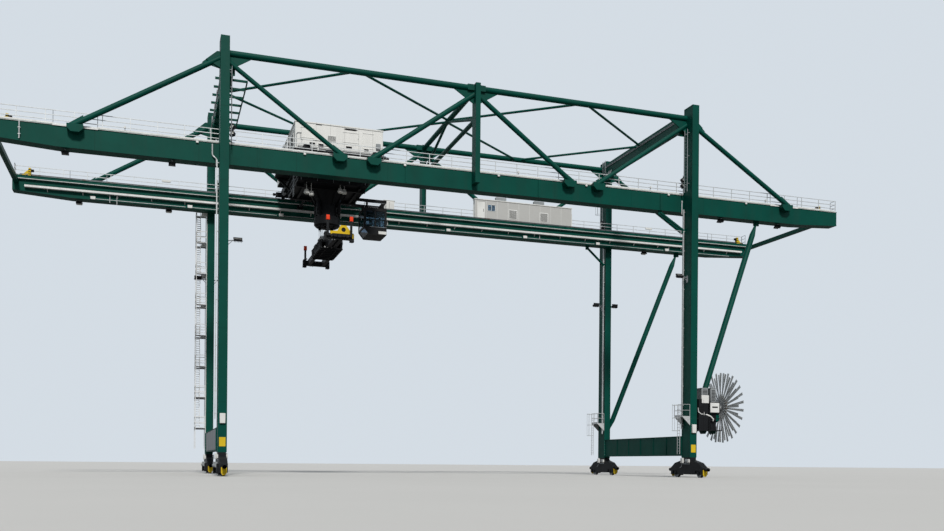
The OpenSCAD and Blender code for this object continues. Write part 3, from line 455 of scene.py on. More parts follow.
def cable_runs():
    """Cable trays down the legs and the pipes that bring cables off the girders."""
    trays = Piece()
    for sx, sy in ((-1, -1), (1, -1), (1, 1)):
        x = sx * LEG_X - FACE - LIP
        y = sy * (LEG_Y - 0.25)
        trays.box((x - 0.095, y - 0.04, TRAY_LOW), (x - 0.088, y + 0.04, TRAY_HIGH))
        for side in (-1, 1):
            trays.box((x - 0.095, y + side * 0.04 - 0.003, TRAY_LOW),
                      (x - 0.055, y + side * 0.04 + 0.003, TRAY_HIGH))
        for i in range(12):
            z = 2.5 + i * 0.92
            trays.box((x - 0.088, y - 0.03, z), (x, y + 0.03, z + 0.022))
            trays.box((x - 0.101, y - 0.046, z), (x - 0.095, y + 0.046, z + 0.035))
        for side in (-0.018, 0.018):
            trays.rod((x - 0.076, y + side, TRAY_LOW), (x - 0.076, y + side, TRAY_HIGH), 0.011,
                      sides=6)
    web = OUTER + 0.035
    pipes = Piece()
    pipes.pipe([(-11.18, -web, 13.4), (-11.18, -web, 13.0), (-11.16, -web, 12.93),
                (-11.06, -web - 0.03, 12.84), (-11.02, -4.2, 12.78), (-11.02, -4.2, 12.5)], 0.028)
    pipes.pipe([(10.47, -web, 13.12), (10.47, -web, 12.6), (10.475, -web, 12.56),
                (10.5, -web - 0.03, 12.54), (10.5, -4.2, 12.54)], 0.022)
    pipes.box((10.44, -web - 0.03, 13.1), (10.5, -OUTER, 13.2), 0.008)
    x = -18.27
    for sy in (-1, 1):
        pipes.pipe([(x, sy * web, 13.46), (x, sy * web, 12.86), (x - 0.01, sy * web, 12.8)], 0.024)
        for z in (12.95, 13.2):
            pipes.box((x - 0.045, sy * OUTER, z), (x + 0.045, sy * (web + 0.03), z + 0.025))
    inner = INNER - 0.02
    for x, z in ((-15.34, 12.57), (-15.03, 12.5), (-2.1, 12.7), (6.3, 12.7), (14.2, 12.7)):
        pipes.rod((x, inner, z), (x, inner, 12.935), 0.018, sides=8)
    for i in range(8):
        x = -16.07 + i * 4.305
        pipes.rod((x + 0.1, INNER - 0.015, 12.70), (x + 4.1, INNER - 0.015, 12.70), 0.014, sides=6)
    trays.done("leg_cable_trays", WHITE_ZINC)
    pipes.done("girder_cable_pipes", WHITE_ZINC)


def supply_chain():
    """The black supply chain that lies in the channel along the rear girder."""
    chain = Piece()
    y0, y1 = INNER - 0.128, INNER - 0.02
    for i in range(260):
        x = -CHANNEL_END + i * 0.145
        chain.box((x, y0, 12.953), (x + 0.118, y1, 13.012), 0.008)
    chain.rod((-CHANNEL_END, (y0 + y1) / 2, 12.985), (CHANNEL_END, (y0 + y1) / 2, 12.985), 0.02,
              sides=8)
    chain.done("supply_chain", BLACK)


def girder_lamps():
    """Floodlights under the girders, on the legs and at the pylons, with junction boxes."""
    housing, lens, boxes, arms = Piece(), Piece(), Piece(), Piece()
    for x in (-16.68, -12.72, 12.81, 16.1):
        for sy in (-1, 1):
            y = sy * 3.8
            drop = GIRDER_LOW + max(0, abs(x) - 16.97) * 0.1
            arms.box((x - 0.02, y - 0.05, drop - 0.05), (x + 0.02, y + 0.05, drop))
            floodlight(housing, lens, (x, y, drop - 0.13), 0 if sy > 0 else math.pi, math.pi * 0.36)
    for i in range(8):
        x = -16.07 + i * 4.305
        boxes.box((x - 0.11, INNER - 0.07, 12.66), (x + 0.11, INNER, 12.8), 0.012)
        for sy in (-1, 1):
            boxes.box((x - 0.05, sy * (OUTER + 0.045), 13.38), (x + 0.05, sy * OUTER, 13.46), 0.008)
    for sx, side in ((-1, 1), (1, -1), (1, 1), (-1, -1)):
        for sy in (-1, 1):
            if sx == side and sy < 0:
                continue
            x = sx * LEG_X + side * (FACE + LIP)
            tip = x + side * 0.34
            y = sy * LEG_Y
            arms.rod((x, y, 9.47), (tip, y, 9.52), 0.022, sides=8)
            arms.rod((x, y, 9.3), (x + side * 0.2, y, 9.5), 0.014, sides=8)
            arms.box((x - side * 0.004, y - 0.07, 9.24), (x + side * 0.012, y + 0.07, 9.56))
            floodlight(housing, lens, (tip + side * 0.06, y, 9.52), 0 if sy < 0 else math.pi,
                       -math.pi * 0.46, 0.34, 0.16)
    for sx, sy in CORNERS:
        x = sx * (LEG_X - FACE - LIP)
        y = sy * (LEG_Y - 0.2)
        arms.rod((x - sx * 0.13, y, 13.5), (x - sx * 0.13, y, 14.35), 0.02, sides=8)
        arms.box((x - sx * 0.15, y - 0.02, 13.8), (x, y + 0.02, 13.84))
        for z in (13.85, 14.12):
            floodlight(housing, lens, (x - sx * 0.16, y - sy * 0.02, z),
                       sx * 0.9 if sy < 0 else math.pi - sx * 0.9, -0.5, 0.2, 0.17)
        boxes.box((sx * LEG_X - 0.11, sy * (LEG_Y + SIDE), 2.1),
                  (sx * LEG_X + 0.11, sy * (LEG_Y + SIDE + 0.1), 2.5), 0.012)
    for x in (-14.5, -6.91, 2.1, 8.8, 15.2):
        boxes.box((x - 0.03, -OUTER - 0.05, 13.62), (x + 0.03, -OUTER + 0.03, 13.72), 0.006)
        arms.rod((x, -OUTER + 0.045, 13.5), (x, -OUTER + 0.045, 13.66), 0.01, sides=6)
    for x in (-13.04, 13.04):
        boxes.box((x, 4.0, 13.94), (x + 0.4, 4.06, 14.04), 0.01)
    housing.done("floodlight_housings", DARK)
    lens.done("floodlight_lenses", LENS)
    boxes.done("junction_boxes", WHITE_PAINT)
    arms.done("lamp_arms", ZINC)


def deck_edges():
    """White toe boards along the decks, stepped down to the flange where a forestay lands."""
    boards, rails = Piece(), Piece()
    for sy in (-1, 1):
        for x0, x1 in ((-19.4, -17.1), (-15.5, -10.95), (-10.55, 10.55), (10.95, 15.5),
                       (17.1, 19.4)):
            boards.box((x0, sy * 4.03, DECK + 0.012), (x1, sy * 4.045, DECK + 0.075))
            boards.box((x0, sy * 4.055, DECK - 0.03), (x1, sy * 4.079, DECK - 0.016))
            for i in range(int((x1 - x0) / 0.8)):
                boards.box((x0 + 0.3 + i * 0.8, sy * 4.03, DECK),
                           (x0 + 0.34 + i * 0.8, sy * 4.05, DECK + 0.02))
        for sx in (-1, 1):
            x = sx * 16.3
            boards.box((x - 0.82, sy * 4.055, DECK - 0.05), (x + 0.82, sy * 4.085, DECK))
            boards.box((x - 0.8, sy * 3.98, DECK), (x + 0.8, sy * 4.07, DECK + 0.008))
            for side in (-1, 1):
                rails.rod((x + side * 0.8, sy * 4.025, DECK),
                          (x + side * 0.8, sy * 4.025, DECK + 0.56), 0.013, sides=6)
    boards.done("deck_toe_boards", WHITE_TRIM)
    rails.done("forestay_rail_ends", ZINC)


def girder_fittings():
    """Rail clips, end stops, end plates and end railings of the girders."""
    clips, ends, stops, bars, rails = (Piece() for _ in range(5))
    for sy in (-1, 1):
        for i in range(62):
            x = -18.9 + i * 0.62
            for side in (-1, 1):
                clips.box((x, sy * RAIL_Y + side * 0.055, DECK),
                          (x + 0.07, sy * RAIL_Y + side * 0.1, DECK + 0.022))
        for sx in (-1, 1):
            x = sx * GIRDER_END
            ends.bolts([(x - sx * 0.016, sy * y, z) for y in (3.56, 3.77, 3.98)
                        for z in (12.98, 13.2, 13.42)], (sx, 0, 0))
            stops.box((sx * STOP_X, sy * (RAIL_Y - 0.09), DECK),
                      (sx * (STOP_X + 0.1), sy * (RAIL_Y + 0.09), 13.84))
            stops.plate([(sx * (STOP_X + 0.1), sy * RAIL_Y - 0.02, DECK),
                         (sx * 19.1, sy * RAIL_Y - 0.02, DECK),
                         (sx * (STOP_X + 0.1), sy * RAIL_Y - 0.02, 13.78)], (0, 0.04, 0))
            for k in range(3):
                bars.box((sx * (STOP_X - 0.006), sy * (RAIL_Y - 0.094), 13.54 + k * 0.1),
                         (sx * (STOP_X + 0.106), sy * (RAIL_Y + 0.094), 13.58 + k * 0.1))
            bars.rod((sx * STOP_X, sy * RAIL_Y, 13.74), (sx * 18.58, sy * RAIL_Y, 13.74), 0.06,
                     sides=20)
            rails.rail_run([(sx * 19.4, sy * 4.03, DECK), (sx * 19.4, sy * 3.66, DECK)], 0.56, 3,
                           0.5, 0.012)
            rails.box((sx * 19.4 - 0.006, sy * 3.66, DECK),
                      (sx * 19.4 + 0.006, sy * 4.03, DECK + 0.06))
    for sy in (-1, 1):
        for x in (-9.35, -3.1, 3.1, 9.35):
            ends.box((x - 0.03, sy * OUTER, 12.68), (x + 0.03, sy * (OUTER + 0.012), 13.46))
    clips.done("rail_clips", STEEL)
    ends.done("girder_end_bolts", GREEN)
    stops.done("trolley_end_stops", YELLOW)
    bars.done("end_stop_bars", BLACK)
    rails.done("girder_end_railings", ZINC)


def pylon_fittings():
    """Ladders on the pylons, gusset ribs and the cable pipes on the head beams."""
    ladders, ribs, pipes = Piece(), Piece(), Piece()
    for sx, sy in CORNERS:
        x = sx * (LEG_X - FACE - LIP) - sx * 0.11
        ladders.ladder((x, sy * LEG_Y, DECK + 0.02), 2.95, (0, 0.24, 0), (-sx * 0.3, 0, 0), sy > 0)
        for z in (13.9, 15.2, 16.3):
            ladders.box((x, sy * LEG_Y - 0.13, z), (x + sx * 0.11, sy * LEG_Y - 0.11, z + 0.02))
            ladders.box((x, sy * LEG_Y + 0.11, z), (x + sx * 0.11, sy * LEG_Y + 0.13, z + 0.02))
        for z in (2.2, 5.15, 8.1, 11.05, 14.6):
            ribs.box((sx * LEG_X - FACE - 0.006, sy * LEG_Y - SIDE + 0.03, z),
                     (sx * LEG_X + FACE + 0.006, sy * LEG_Y + SIDE - 0.03, z + 0.012))
        ribs.plate([(sx * (LEG_X + FACE + 0.002), sy * 4.2, 16.45),
                    (sx * (LEG_X + FACE + 0.55), sy * 4.2, 16.72),
                    (sx * (LEG_X + FACE + 0.12), sy * 4.2, 17.1),
                    (sx * (LEG_X + FACE + 0.002), sy * 4.2, 17.1)], (0, sy * 0.1, 0))
    for k in range(3):
        y = 3.2 - k * 0.16
        pipes.pipe([(10.28, y, 16.7), (10.2, y, 16.5), (10.05, y, 16.36 - 0.05 * k),
                    (9.9, y - 0.05, 16.5), (9.86, y - 0.08, 16.9), (9.86, y - 0.08, 17.12)], 0.016,
                   6)
    left_pipe = -10.86
    for x, z in ((left_pipe, 16.3), (10.29, 17.0)):
        pipes.rod((x, -3.6, z), (x, 3.6, z), 0.02, sides=8)
        pipes.rod((x, -3.6, z + 0.06), (x, 3.6, z + 0.06), 0.014, sides=8)
    for y in (-3.3, -1.65, 0, 1.65, 3.3):
        pipes.box((left_pipe - 0.03, y - 0.02, 16.25), (left_pipe + 0.03, y + 0.02, 16.54))
    ladders.done("pylon_ladders", ZINC)
    ribs.done("leg_seam_ribs", LEG_GREEN)
    pipes.done("head_beam_pipes", ZINC)


def sill_fittings():
    """Grey cladding on the sills, bolted end plates, and the yellow plates on the legs."""
    panels, frames, bolts, plates = Piece(), Piece(), Piece(), Piece()
    for sx in (-1, 1):
        outer = sx * (LEG_X + 0.14)
        if sx < 0:
            for i in range(6):
                y = -3.84 + i * 1.285
                panels.box((outer - 0.026, y, 1.07), (outer, y + 1.265, 1.93), 0.008)
        for sy in (-1, 1):
            for side in (-1, 1):
                frames.box((sx * LEG_X + side * 0.14, sy * 4.03, 1.05),
                           (sx * LEG_X + side * 0.21, sy * 4.07, 1.95))
                bolts.bolts([(sx * LEG_X + side * 0.18, sy * 4.03, 1.15 + i * 0.14)
                             for i in range(6)], (0, -sy, 0))
        for y in (-2.6, -1.3, 0, 1.3, 2.6):
            frames.box((sx * (LEG_X - 0.14), y - 0.012, 1.054),
                       (sx * (LEG_X - 0.163), y + 0.012, 1.946))
    for sx, sy in CORNERS:
        y = sy * (LEG_Y + SIDE)
        plates.box((sx * LEG_X - 0.125, y, 1.18), (sx * LEG_X + 0.125, y + sy * 0.012, 1.55), 0.005)
    panels.done("sill_cladding", GREY_PAINT)
    frames.done("sill_end_plates", GREEN)
    bolts.done("sill_bolts", ZINC)
    plates.done("yellow_leg_plates", YELLOW)


def bogie_fittings():
    """Drives, axle covers, pins, sweepers, buffer pads and boxes on the bogies."""
    drives, motors, pads, sweepers, boxes, pins = (Piece() for _ in range(6))
    for sx, sy in CORNERS:
        x0, y0 = sx * LEG_X, sy * LEG_Y
        for side in (-1, 1):
            for end in (-1, 1):
                y = y0 + end * 1.0
                x = x0 + side * 0.115
                if side == sx:
                    drives.box((x, y - 0.1, 0.1), (x0 + side * 0.27, y + 0.1, 0.36), 0.02)
                    drives.box((x0 + side * 0.12, y - end * 0.06, 0.3),
                               (x0 + side * 0.25, y - end * 0.26, 0.5), 0.02)
                    centre = (x0 + side * 0.24, y - end * 0.26, 0.42)
                    profile = [(0, 0), (0.075, 0), (0.075, 0.02)]
                    profile += fins(9, 0.03, 0.026, 0.066, 0.084, 0.012)
                    profile += [(0.07, 0.29), (0.07, 0.36), (0.045, 0.38), (0, 0.38)]
                    motors.turned(profile, centre, (0, -end, 0), 20)
                    motors.box((x0 + side * 0.19, y - end * 0.38, 0.49),
                               (x0 + side * 0.29, y - end * 0.52, 0.57), 0.01)
                else:
                    drives.turned([(0, 0.03), (0.05, 0.03), (0.075, 0.02), (0.085, 0), (0, 0)],
                                  (x, y, WHEEL_Z), (side, 0, 0), 20)
            pins.turned([(0, 0.035), (0.07, 0.035), (0.095, 0.02), (0.1, 0), (0, 0)],
                        (x0 + side * 0.15, y0, 0.78), (side, 0, 0), 24)
            pins.bolts([(x0 + side * 0.18, y0 + 0.055 * math.cos(a), 0.78 + 0.055 * math.sin(a))
                        for a in (0.5, 2.1, 3.6, 5.2)], (side, 0, 0), 0.01, 0.012)
            pins.box((x0 + side * 0.15, y0 - 0.3, 0.63), (x0 + side * 0.172, y0 + 0.3, 0.66))
            boxes.box((x0 + side * 0.15, y0 + 0.18, 0.68), (x0 + side * 0.25, y0 + 0.36, 0.92),
                      0.012)
            boxes.box((x0 + side * 0.15, y0 - 0.34, 0.7), (x0 + side * 0.22, y0 - 0.16, 0.86),
                      0.012)
            pins.pipe([(x0 + side * 0.2, y0 + 0.3, 0.68), (x0 + side * 0.2, y0 + 0.34, 0.52),
                       (x0 + side * 0.23, y0 + 0.42, 0.46)], 0.012, 6)
        for end in (-1, 1):
            y = y0 + end * 1.38
            pads.turned([(0, 0.01), (0.075, 0.01), (0.082, 0), (0.082, -0.06), (0.07, -0.07),
                         (0, -0.07)], (x0, y + end * 0.31, 0.375), (0, end, 0), 24)
            sweepers.plate([(x0 - 0.11, y, 0.36), (x0 + 0.11, y, 0.36), (x0 + 0.11, y, 0.14),
                            (x0 + 0.05, y, 0.05), (x0 - 0.05, y, 0.05), (x0 - 0.11, y, 0.14)],
                           (0, end * 0.02, 0))
            sweepers.bolts([(x0 + a, y + end * 0.02, 0.3) for a in (-0.07, 0.07)], (0, end, 0))
    drives.done("wheel_drives", DARK)
    motors.done("wheel_motors", GREY_PAINT, slot="dark_paint")
    pads.done("buffer_pads", BLACK)
    sweepers.done("rail_sweepers", YELLOW)
    boxes.done("bogie_boxes", WHITE_PAINT)
    pins.done("bogie_pins", ZINC)


def wheel_caps():
    """Turned caps on the axle ends and holes' rims on the wheels, one piece for each wheel."""
    for sx, side in ((-1, "left"), (1, "right")):
        for sy, row in ((-1, "front"), (1, "rear")):
            for end, letter in ((-1, "a"), (1, "b")):
                body = f"wheel_{row}_{side}_{letter}"
                y = sy * LEG_Y + end * 1.0
                caps = Piece()
                for face in (-1, 1):
                    x = sx * LEG_X + face * 0.036
                    caps.turned([(0.085, 0), (0.125, 0), (0.13, 0.006), (0.125, 0.012),
                                 (0.085, 0.012), (0.085, 0)], (x, y, WHEEL_Z), (face, 0, 0), 28)
                    caps.bolts([(x + face * 0.01, y + 0.105 * math.cos(a * 0.785),
                                 WHEEL_Z + 0.105 * math.sin(a * 0.785)) for a in range(8)],
                               (face, 0, 0), 0.009, 0.008)
                caps.done(f"wheel_rings_{row}_{side}_{letter}", STEEL, body)


def stair_fittings():
    """Hand rails on the stair's flights, grating bars on its landings, and ties to the leg."""
    rails, gratings = Piece(), Piece()
    x1 = -(LEG_X + FACE + LIP)
    x0 = x1 - 0.5
    y0, y1 = OUTER + 0.01, OUTER + 1.11
    for i in range(8):
        z = 2.2 + i * 1.5
        if i < 7:
            for x in (x0 + 0.03, x0 + 0.21):
                for lift in (0.28, 0.52):
                    rails.rod((x, y0 + 0.2, z + lift), (x, y0 + 0.9, z + 1.5 + lift), 0.011,
                              sides=6)
                for t in (0.1, 0.5, 0.9):
                    y, base = y0 + 0.2 + 0.7 * t, z + 1.5 * t
                    rails.rod((x, y, base), (x, y, base + 0.52), 0.01, sides=6)
        for k in range(9):
            gratings.box((x0 + 0.26 + k * 0.026, y0 + 0.16, z + 0.02),
                         (x0 + 0.268 + k * 0.026, y1 - 0.16, z + 0.032))
        for y in (y0 + 0.05, y1 - 0.06):
            gratings.box((x1 - 0.02, y, z - 0.05), (x1 + 0.012, y + 0.03, z))
            gratings.box((x0, y, z - 0.045), (x1, y + 0.02, z - 0.002))
        gratings.box((x0, y0, z - 0.002), (x0 + 0.01, y1, z + 0.06))
    rails.done("stair_hand_rails", WHITE_TRIM)
    gratings.done("stair_gratings", ZINC)


def access_landing():
    """The landing and ladder at the foot of the front right leg, and one at the rear right."""
    floor, rails = Piece(), Piece()
    for sy in (-1, 1):
        x1 = LEG_X - FACE - LIP
        x0 = x1 - 0.42
        y0, y1 = sy * 4.1, sy * 4.82
        floor.box((x0, y0, 2.86), (x1, y1, 2.89))
        floor.box((x0 - 0.006, y0, 2.85), (x0, y1, 2.95))
        for y in (y0, y1 - sy * 0.02):
            floor.plate([(x0, y, 2.86), (x1, y, 2.86), (x1, y, 2.46)], (0, sy * 0.02, 0))
        rails.rail_run([(x1 - 0.02, y0, 2.89), (x0, y0, 2.89), (x0, y1, 2.89),
                        (x1 - 0.02, y1, 2.89)], 0.55, 2, 0.4, 0.011)
        rails.ladder((x0 - 0.06, sy * 4.6, 1.1), 2.35, (0, 0.22, 0), (-0.28, 0, 0), True, 0.14)
    floor.done("landing_floors", WHITE_ZINC)
    rails.done("landing_rails", WHITE_ZINC)


def reel_dressing():
    """The reel's channel-shaped spokes, its hub and its wound cable."""
    reel, winding = Piece(), Piece()
    for side in (-1, 1):
        x = REEL.x + side * 0.051
        reel.turned([(0, 0.02), (0.16, 0.02), (0.17, 0.012), (0.33, 0.012), (0.34, 0.006),
                     (0.34, -0.014), (0, -0.014)], (x, REEL.y, REEL.z), (side, 0, 0), 40)
        reel.bolts([(x + side * 0.012, REEL.y + 0.25 * math.cos(a * math.pi / 6),
                     REEL.z + 0.25 * math.sin(a * math.pi / 6)) for a in range(12)], (side, 0, 0))
        for i in range(26):
            angle = (i + (0.5 if side > 0 else 0)) * 2 * math.pi / 26
            out = Vector((side * math.sin(math.radians(3)), math.cos(angle), math.sin(angle)))
            wide = Vector((0, -math.sin(angle), math.cos(angle)))
            thick = Vector((side, 0, 0))
            hub = Vector((x - side * 0.007, REEL.y, REEL.z)) + out * 0.26
            tip = Vector((x - side * 0.007, REEL.y, REEL.z)) + out * (REEL_RADIUS - 0.007)
            outline = [hub - wide * 0.03, hub + wide * 0.03, tip + wide * 0.062, tip - wide * 0.062]
            reel.plate(outline, thick * 0.006)
            for edge in (-1, 1):
                reel.plate([hub + wide * edge * 0.03, tip + wide * edge * 0.062,
                            tip + wide * edge * 0.062 + thick * 0.022,
                            hub + wide * edge * 0.03 + thick * 0.022], wide * -edge * 0.005)
    reel.turned([(0, -0.19), (0.054, -0.19), (0.054, -0.1), (0.108, -0.1), (0.108, 0.2),
                 (0.09, 0.22), (0, 0.22)], REEL, (1, 0, 0), 32)
    ridges = [(0.31, -0.034)]
    for k in range(6):
        r = 0.325 + k * 0.03
        ridges += [(r, -0.034), (r + 0.012, -0.038), (r + 0.024, -0.034)]
    turns = ridges + [(0.51, -0.02), (0.514, 0), (0.51, 0.02)]
    turns += [(r, -z) for r, z in ridges[::-1]] + [ridges[0]]
    winding.turned(turns, REEL, (1, 0, 0), 64)
    wheel = reel.done("reel_spokes", WHITE_ZINC, "reel")
    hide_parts("cable_reel")
    winding.done("reel_cable_winding", CABLE, "reel")


def reel_stand_dressing():
    """Cabinets, louvres, drive housings and the cable guide beside the reel."""
    white, dark, ducts, green = Piece(), Piece(), Piece(), Piece()
    y = REEL.y
    near = REEL.x - 0.105
    for x0, x1, z0, z1 in ((11.27, 11.62, 3.62, 4.26), (11.76, 12.05, 3.6, 4.27)):
        ducts.box((x0, y - 0.24, z0), (x1, y + 0.2, z1), 0.02)
        for k in range(8):
            z = z0 + 0.07 + k * 0.065
            dark.box((x0 + 0.05, y - 0.246, z), (x1 - 0.05, y - 0.238, z + 0.03))
        ducts.box((x0 - 0.012, y - 0.252, z1 - 0.03), (x1 + 0.012, y + 0.21, z1), 0.006)
    white.box((11.2, y - 0.36, 3.52), (11.6, y - 0.245, 3.9), 0.015)
    white.box((near - 0.66, y - 0.302, 3.1), (near - 0.17, y - 0.288, 3.56), 0.006)
    dark.box((near - 0.56, y - 0.308, 3.32), (near - 0.26, y - 0.3, 3.385))
    white.pipe([(11.33, y - 0.3, 3.0), (11.5, y - 0.34, 2.98), (11.7, y - 0.36, 2.9),
                (11.85, y - 0.34, 2.78), (11.86, y - 0.3, 2.7)], 0.035, 10)
    white.pipe([(11.05, y - 0.3, 3.3), (11.05, y - 0.34, 3.1), (11.2, y - 0.34, 3.0),
                (11.4, y - 0.33, 3.02)], 0.025, 8)
    for side in (y - 0.2, y + 0.17):
        green.plate([(near - 0.62, side, 3.06), (near - 0.12, side, 3.06),
                     (near - 0.12, side, 2.72), (near - 0.45, side, 2.5)], (0, 0.03, 0))
    door = LEG_X + FACE + LIP + 0.13
    for k in range(6):
        dark.box((door + 0.06, y - 0.36, 3.1 + k * 0.05), (door + 0.2, y - 0.352, 3.125 + k * 0.05))
    dark.box((door + 0.245, y - 0.36, 2.3), (door + 0.255, y - 0.352, 3.7))
    white.box((door + 0.27, y - 0.368, 2.95), (door + 0.29, y - 0.354, 3.1), 0.003)
    for x in (11.0, 11.5, 12.0):
        green.plate([(x, y - 0.34, 2.22), (x, y + 0.34, 2.22), (x, y + 0.2, 2.08),
                     (x, y - 0.2, 2.08)], (0.02, 0, 0))
    white.done("reel_boxes", WHITE_PAINT)
    dark.done("reel_louvres", BLACK)
    ducts.done("reel_drive_housings", GREY_PAINT)
    green.done("reel_brackets", GREEN)


def electrical_house():
    """Door, window, louvres, roof units and pipes of the house on the rear girder."""
    trim, glass, units, dark = Piece(), Piece(), Piece(), Piece()
    y = RAIL_Y + 0.16
    roof = DECK + 1.12
    trim.box((2.83, y + 0.004, 13.57), (3.25, y - 0.008, 14.47), 0.006)
    dark.box((3.17, y - 0.016, 13.95), (3.19, y - 0.008, 14.1))
    glass.box((3.42, y + 0.004, 14.03), (3.84, y - 0.004, 14.35))
    for z in (14.01, 14.35):
        trim.box((3.4, y + 0.006, z), (3.85, y - 0.012, z + 0.02))
    for x in (3.4, 3.615, 3.83):
        trim.box((x, y + 0.006, 14.01), (x + 0.02, y - 0.012, 14.37))
    for x in (4.6, 6.4):
        trim.box((x, y, 13.7), (x + 0.5, y - 0.014, 14.2), 0.004)
        for k in range(9):
            dark.box((x + 0.04, y - 0.012, 13.74 + k * 0.049),
                     (x + 0.46, y - 0.02, 13.762 + k * 0.049))
    for i in range(10):
        x = 2.7 + i * 0.62
        trim.box((x, y, DECK), (x + 0.014, y - 0.01, roof - 0.04))
        trim.box((x, OUTER - 0.07, DECK), (x + 0.014, OUTER - 0.06, roof - 0.04))
    for x in (3.9, 6.1):
        units.box((x, 3.78, roof), (x + 0.6, 3.97, roof + 0.2), 0.02)
        for k in range(5):
            units.box((x + 0.06 + k * 0.1, 3.772, roof + 0.04),
                      (x + 0.1 + k * 0.1, 3.78, roof + 0.16))
    for x in (2.66, 8.34):
        trim.pipe([(x, 3.8, 14.3), (x, 3.8, 13.7), (x, 3.75, 13.55)], 0.02, 6)
    trim.box((-2.18, RAIL_Y + 0.18, 13.54), (-1.7, RAIL_Y + 0.17, 14.0), 0.006)
    dark.box((-1.95, RAIL_Y + 0.172, 13.56), (-1.94, RAIL_Y + 0.166, 13.98))
    trim.box((-2.24, RAIL_Y + 0.16, 14.04), (-1.64, RAIL_Y + 0.4, 14.07), 0.006)
    trim.done("electrical_trim", WHITE_PAINT)
    glass.done("electrical_window", GLASS)
    units.done("roof_units", GREY_PAINT)
    dark.done("electrical_louvres", BLACK)


# The trolley, its machinery house, the cab and the slewing column


def trolley_drives():
    """Travel motors, buffers and rail scrapers of the trolley's carriages."""
    gears, motors, buffers = Piece(), Piece(), Piece()
    for sx, sy in CORNERS:
        x, y = TROLLEY + sx * 1.55, sy * (RAIL_Y - 0.1)
        gears.box((x - 0.13, y, 13.6), (x + 0.13, y - sy * 0.12, 13.88), 0.02)
        profile = [(0, 0), (0.08, 0)] + fins(9, 0.02, 0.03, 0.074, 0.094, 0.014)
        profile += [(0.08, 0.32), (0.08, 0.4), (0.05, 0.42), (0, 0.42)]
        motors.turned(profile, (x, y - sy * 0.12, 13.74), (0, -sy, 0), 20)
        motors.box((x - 0.05, y - sy * 0.2, 13.82), (x + 0.05, y - sy * 0.36, 13.9), 0.01)
        end = TROLLEY + sx * 1.9
        buffers.turned([(0, 0), (0.05, 0), (0.05, 0.06), (0.068, 0.06), (0.068, 0.14),
                        (0.055, 0.155), (0, 0.155)], (end, sy * RAIL_Y, 13.74), (sx, 0, 0), 24)
        gears.box((end, sy * RAIL_Y - 0.08, 13.64), (end + sx * 0.02, sy * RAIL_Y + 0.08, 13.83),
                  0.004)
        gears.box((end, sy * RAIL_Y - 0.05, 13.582), (end + sx * 0.03, sy * RAIL_Y + 0.05, 13.64))
        for k in range(5):
            gears.box((TROLLEY + sx * (0.2 + k * 0.3), sy * (RAIL_Y + 0.095), 13.65),
                      (TROLLEY + sx * (0.2 + k * 0.3) + 0.014, sy * (RAIL_Y + 0.104), 13.83))
    gears.done("trolley_gearboxes", DARK, "trolley")
    motors.done("trolley_motors", GREY_PAINT, "trolley", "dark_paint")
    buffers.done("trolley_buffers", BLACK, "trolley")


